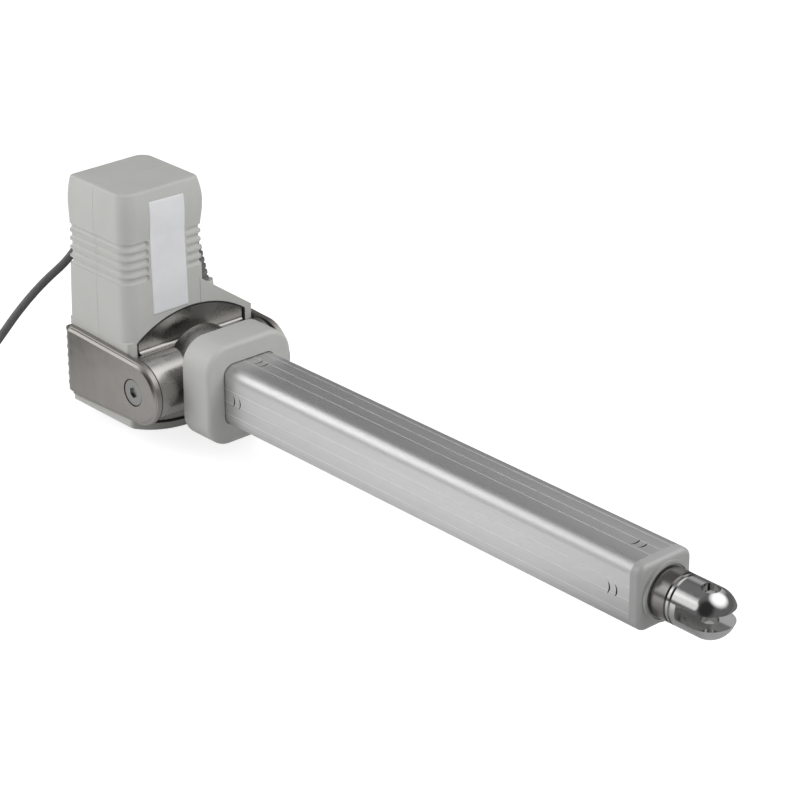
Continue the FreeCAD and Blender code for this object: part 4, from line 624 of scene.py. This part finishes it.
for lip_name, lip_side in (("yoke_lip_left", 1), ("yoke_lip_right", -1)):
    lip = dress(arm_lip(lip_name, lip_side), "cast_alloy")
    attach(lip, "frame")


# Lip of the gasket, level with the covers' front round their arched mouth, in millimetres

MOUTH_HALF, MOUTH_SPRING, MOUTH_RADIUS = 43.5, 24.0, 74.0
MOUTH_LOW, MOUTH_LOW_SIDE = -39.0, -30.43
# Distance inwards from the mouth's edge, and place along the part
GASKET_SECTION = ((0, 80.4), (0, 81.55), (0.2, 81.75), (0.95, 81.75), (1.15, 81.55), (1.15, 80.4))


def mouth_edge():
    """Edge of the covers' arched mouth, all round: places across and up."""
    rise_low = MOUTH_LOW_SIDE - MOUTH_LOW
    low_radius = (MOUTH_HALF ** 2 + rise_low ** 2) / (2 * rise_low)
    low_half = math.asin(MOUTH_HALF / low_radius)
    top_half = math.asin(MOUTH_HALF / MOUTH_RADIUS)
    low_centre = MOUTH_LOW + low_radius
    top_centre = MOUTH_SPRING - MOUTH_RADIUS * math.cos(top_half)
    return [
        *arc((0, low_centre), low_radius, -QUARTER - low_half, -QUARTER + low_half, steps=32),
        *arc((0, top_centre), MOUTH_RADIUS, QUARTER - top_half, QUARTER + top_half, steps=32),
    ]


def gasket_lip():
    return swept(
        "gasket_lip", mouth_edge(), GASKET_SECTION, lambda y, z, x: mm(x, y, z), closed=True, flip=True
    )


seal = dress(gasket_lip(), "seal_rubber")
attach(seal, "frame")


# Thin black rings between the housing's barrel and the yoke's arms, just inside the arms' edge, that draw the
# dark seam there

BARREL_END = 50.0
# Distance from the barrel's end towards its middle, and radius
SEAM_RING_PROFILE = ((0.02, 20.0), (0.02, 20.92), (0.8, 20.92), (1.0, 20.7), (1.0, 20.0))
for seam_name, seam_side in (("barrel_seam_ring_left", 1), ("barrel_seam_ring_right", -1)):
    seat = mm(ARM_NOSE, seam_side * BARREL_END, ARM_HEIGHT)
    ring = sharp(lathe(seam_name, SEAM_RING_PROFILE, seat, Vector((0, -seam_side, 0)), steps=96))
    dress(ring, "seal_rubber")
    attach(ring, "frame")


# Label plate: a bare film that follows the front cover

# Lower left, lower right, upper right and upper left corner, across and up in millimetres
LABEL_CORNERS = ((-29.6, 39.2), (-1.9, 39.3), (-3.4, 114.5), (-30.7, 115.2))
LABEL_COLUMNS, LABEL_ROWS = 24, 60
LABEL_LIFT, LABEL_THICKNESS = 0.12 * MM, 0.1 * MM
# Place along the part, in front of the covers, from which the label is laid onto them
LAID_FROM = 200


def surface_of(node):
    """A CAD node's surface, for rays to meet."""
    made = bmesh.new()
    made.from_mesh(NODES[node].data)
    tree = BVHTree.FromBMesh(made)
    made.free()
    return tree


def laid_on(surface, y, z):
    """Where a ray towards the rear meets a surface."""
    hit = surface.ray_cast(mm(LAID_FROM, y, z), Vector((-1, 0, 0)))[0]
    if hit is None:
        raise ValueError(f"no surface behind {y}, {z}")
    return hit


def label():
    cover = surface_of("front_cover")
    low_left, low_right, high_right, high_left = (Vector(corner) for corner in LABEL_CORNERS)
    verts, faces = [], []
    for row in range(LABEL_ROWS + 1):
        for column in range(LABEL_COLUMNS + 1):
            across, up = column / LABEL_COLUMNS, row / LABEL_ROWS
            low = low_left.lerp(low_right, across)
            high = high_left.lerp(high_right, across)
            verts.append(laid_on(cover, *low.lerp(high, up)) + Vector((LABEL_LIFT, 0, 0)))
    for row in range(LABEL_ROWS):
        for column in range(LABEL_COLUMNS):
            a = row * (LABEL_COLUMNS + 1) + column
            b = a + LABEL_COLUMNS + 1
            faces.append((a, a + 1, b + 1, b))
    piece = mesh_piece("label_film", verts, faces)
    body = piece.modifiers.new("film", "SOLIDIFY")
    body.thickness = LABEL_THICKNESS
    body.offset = -1
    return piece


def film():
    """Bare satin film, without any print."""
    n = Nodes("bare_label_film")
    fibre = n.noise(0.6 * MM, 4)
    cloud = n.noise(18 * MM, 3)
    tint = n.mix(n.span(cloud, 0, 1), (0.71, 0.715, 0.735), (0.77, 0.775, 0.79))
    return n.finish(tint, n.span(fibre, 0.36, 0.48), n.bump(fibre, 0.004 * MM), Specular_IOR_Level=0.45)


label_piece = label()
label_piece.data.materials.append(film())
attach(label_piece, "frame")


# Studio: pale floor, soft lamps and the dome that metal mirrors

# Level of the light from all round
AMBIENT = 0.46
# Half the floor's side in metres, and its grey and glow: as it lights the object, as the camera sees it, and as
# mirrors see it lit and unlit
FLOOR_HALF = 8
FLOOR_LIGHTING, FLOOR_SEEN = (0.72, 0), (0.46, 0.79)
FLOOR_MIRRORED, FLOOR_UNLIT = (0.85, 0.15), (0.20, 0.02)
# Where the unlit floor begins and where it is full, and how full: across, behind the object, and along, below
# its front end
UNLIT_BEHIND, UNLIT_FRONT = (0.0, 0.12, 1.0), (0.36, 0.50, 0.6)


def ray_share(tree, *kinds):
    """One for rays of the named kinds, zero for others such as light that falls on the object."""
    path = tree.nodes.new("ShaderNodeLightPath")
    share = path.outputs[kinds[0]]
    for kind in kinds[1:]:
        either = tree.nodes.new("ShaderNodeMath")
        either.operation = "MAXIMUM"
        tree.links.new(share, either.inputs[0])
        tree.links.new(path.outputs[kind], either.inputs[1])
        share = either.outputs[0]
    return share


def either_shader(tree, share, first, second):
    """The first shader where the share is zero, the second where it is one."""
    mixed = tree.nodes.new("ShaderNodeMixShader")
    for source, socket in zip((share, first, second), mixed.inputs):
        tree.links.new(source, socket)
    return mixed.outputs[0]


def studio_world():
    """Soft light from all round, and plain white where the world itself is seen."""
    world = bpy.data.worlds.new("studio")
    SCENE.world = world
    world.use_nodes = True
    tree = world.node_tree
    soft = tree.nodes["Background"]
    soft.inputs["Color"].default_value = (1, 1, 1, 1)
    soft.inputs["Strength"].default_value = AMBIENT
    white = tree.nodes.new("ShaderNodeBackground")
    white.inputs["Color"].default_value = (1, 1, 1, 1)
    white.inputs["Strength"].default_value = 1
    shown = ray_share(tree, "Is Camera Ray", "Is Glossy Ray", "Is Transmission Ray")
    mixed = either_shader(tree, shown, soft.outputs[0], white.outputs[0])
    tree.links.new(mixed, tree.nodes["World Output"].inputs["Surface"])


def pale_floor(tree, grey, glow):
    """A grey that takes shadows, raised by a glow that doesn't."""
    matte = tree.nodes.new("ShaderNodeBsdfDiffuse")
    matte.inputs["Color"].default_value = (grey, grey, grey, 1)
    raised = tree.nodes.new("ShaderNodeEmission")
    raised.inputs["Strength"].default_value = glow
    both = tree.nodes.new("ShaderNodeAddShader")
    tree.links.new(matte.outputs[0], both.inputs[0])
    tree.links.new(raised.outputs[0], both.inputs[1])
    return both.outputs[0]


def rise(tree, value, start, end, top):
    """Zero up to a start, then smoothly up to a top at an end."""
    made = tree.nodes.new("ShaderNodeMapRange")
    made.interpolation_type = "SMOOTHSTEP"
    made.inputs["From Min"].default_value = start
    made.inputs["From Max"].default_value = end
    made.inputs["To Max"].default_value = top
    tree.links.new(value, made.inputs["Value"])
    return made.outputs["Result"]


def unlit_share(tree):
    """How far mirrors see the floor unlit: fully behind the object, in part below its front end."""
    place = tree.nodes.new("ShaderNodeSeparateXYZ")
    tree.links.new(tree.nodes.new("ShaderNodeTexCoord").outputs["Object"], place.inputs[0])
    more = tree.nodes.new("ShaderNodeMath")
    more.operation = "MAXIMUM"
    tree.links.new(rise(tree, place.outputs["Y"], *UNLIT_BEHIND), more.inputs[0])
    tree.links.new(rise(tree, place.outputs["X"], *UNLIT_FRONT), more.inputs[1])
    return more.outputs[0]


def studio_floor():
    corners = ((-1, -1), (1, -1), (1, 1), (-1, 1))
    verts = [(x * FLOOR_HALF, y * FLOOR_HALF, FLOOR_Z) for x, y in corners]
    floor = mesh_piece("studio_floor", verts, [(0, 1, 2, 3)], smooth=False)
    material = bpy.data.materials.new("studio_floor")
    material.use_nodes = True
    tree = material.node_tree
    tree.nodes.remove(tree.nodes["Principled BSDF"])
    matte = pale_floor(tree, *FLOOR_LIGHTING)
    seen = pale_floor(tree, *FLOOR_SEEN)
    mirrored = either_shader(
        tree, unlit_share(tree), pale_floor(tree, *FLOOR_MIRRORED), pale_floor(tree, *FLOOR_UNLIT)
    )
    lit = either_shader(tree, ray_share(tree, "Is Glossy Ray"), matte, mirrored)
    shown = either_shader(tree, ray_share(tree, "Is Camera Ray", "Is Transmission Ray"), lit, seen)
    tree.links.new(shown, tree.nodes["Material Output"].inputs["Surface"])
    floor.data.materials.append(material)


# What the lamps face, in metres, and the lamps: name, direction, distance, width and height, and level
MIDDLE = Vector((0.22, 0.0, 0.02))
LAMPS = (
    ("key_lamp", (-0.58, -0.74, 0.34), 1.2, (1.1, 0.9), 0.53),
    ("fill_lamp", (0.66, 0.40, 0.64), 1.3, (1.0, 0.9), 0.60),
)


def soft_lamp(name, direction, distance, size, level):
    """An area lamp that gives a white card facing it a level of about that much."""
    lamp_data = bpy.data.lights.new(name, "AREA")
    lamp_data.shape = "RECTANGLE"
    lamp_data.size, lamp_data.size_y = size
    lamp_data.energy = level * math.pi * math.pi * distance * distance
    lamp = link(bpy.data.objects.new(name, lamp_data))
    way = Vector(direction).normalized()
    lamp.location = MIDDLE + way * distance
    lamp.rotation_euler = way.to_track_quat("Z", "Y").to_euler()
    lamp.visible_glossy = False


# What polished metal shows of the studio above the floor: bearing and height of the middle of each bright or
# dark area in degrees, how far it is full and how far it fades, and its level
DOME_AREAS = (
    (-65, 35, 20, 45, 0.04),  # camera's side
    (-178, 46, 14, 34, 0.24),  # rear wall
    (108, 34, 10, 26, 0.62),  # back wall
    (-126, 26, 9, 20, 1.15),  # key box, front
    (-151, 30, 11, 24, 2.20),  # key box, rear
    (38, 56, 16, 42, 1.85),  # overhead box
)
# Level elsewhere, radius in metres, and the lowest and highest row in degrees
DOME_BASE = 0.18
DOME_RADIUS = 2.6
DOME_LOW, DOME_HIGH = -1, 89


def dome_mesh(columns=64, rows=14):
    verts, faces = [], []
    for row in range(rows + 1):
        height = math.radians(DOME_LOW + (DOME_HIGH - DOME_LOW) * row / rows)
        for column in range(columns):
            verts.append(heading(2 * math.pi * column / columns, height) * DOME_RADIUS)
    for row in range(rows):
        for column in range(columns):
            after = (column + 1) % columns
            a, b = row * columns, (row + 1) * columns
            faces.append((a + column, a + after, b + after, b + column))
    faces.append(tuple(rows * columns + column for column in range(columns)))
    return mesh_piece("studio_dome", verts, faces)


def studio_dome():
    """Dark walls and soft boxes that only mirrors see."""
    dome = dome_mesh()
    dome.location = MIDDLE
    n = Nodes("studio_dome")
    n.tree.nodes.remove(n.shader)
    way = n.add("ShaderNodeVectorMath", operation="NORMALIZE")
    n.link(n.place, way.inputs[0])
    level = DOME_BASE
    for bearing, height, full, fade, wanted in DOME_AREAS:
        middle = n.add("ShaderNodeVectorMath", operation="DOT_PRODUCT")
        middle.inputs[1].default_value = heading(math.radians(bearing), math.radians(height))
        n.link(way.outputs[0], middle.inputs[0])
        share = n.add("ShaderNodeMapRange", interpolation_type="SMOOTHSTEP")
        share.inputs["From Min"].default_value = math.cos(math.radians(fade))
        share.inputs["From Max"].default_value = math.cos(math.radians(full))
        n.link(middle.outputs["Value"], share.inputs["Value"])
        here = n.math("MULTIPLY", share.outputs["Result"], wanted)
        rest = n.math("SUBTRACT", 1, share.outputs["Result"])
        level = n.math("ADD", here, n.math("MULTIPLY", rest, level))
    glow = n.add("ShaderNodeEmission")
    n.link(level, glow.inputs["Strength"])
    n.link(glow.outputs[0], n.out.inputs["Surface"])
    dome.data.materials.append(n.material)
    dome.visible_camera = False
    dome.visible_diffuse = False
    dome.visible_shadow = False
    dome.visible_transmission = False


studio_world()
studio_floor()
for lamp_settings in LAMPS:
    soft_lamp(*lamp_settings)
studio_dome()
SCENE.view_settings.view_transform = "Standard"
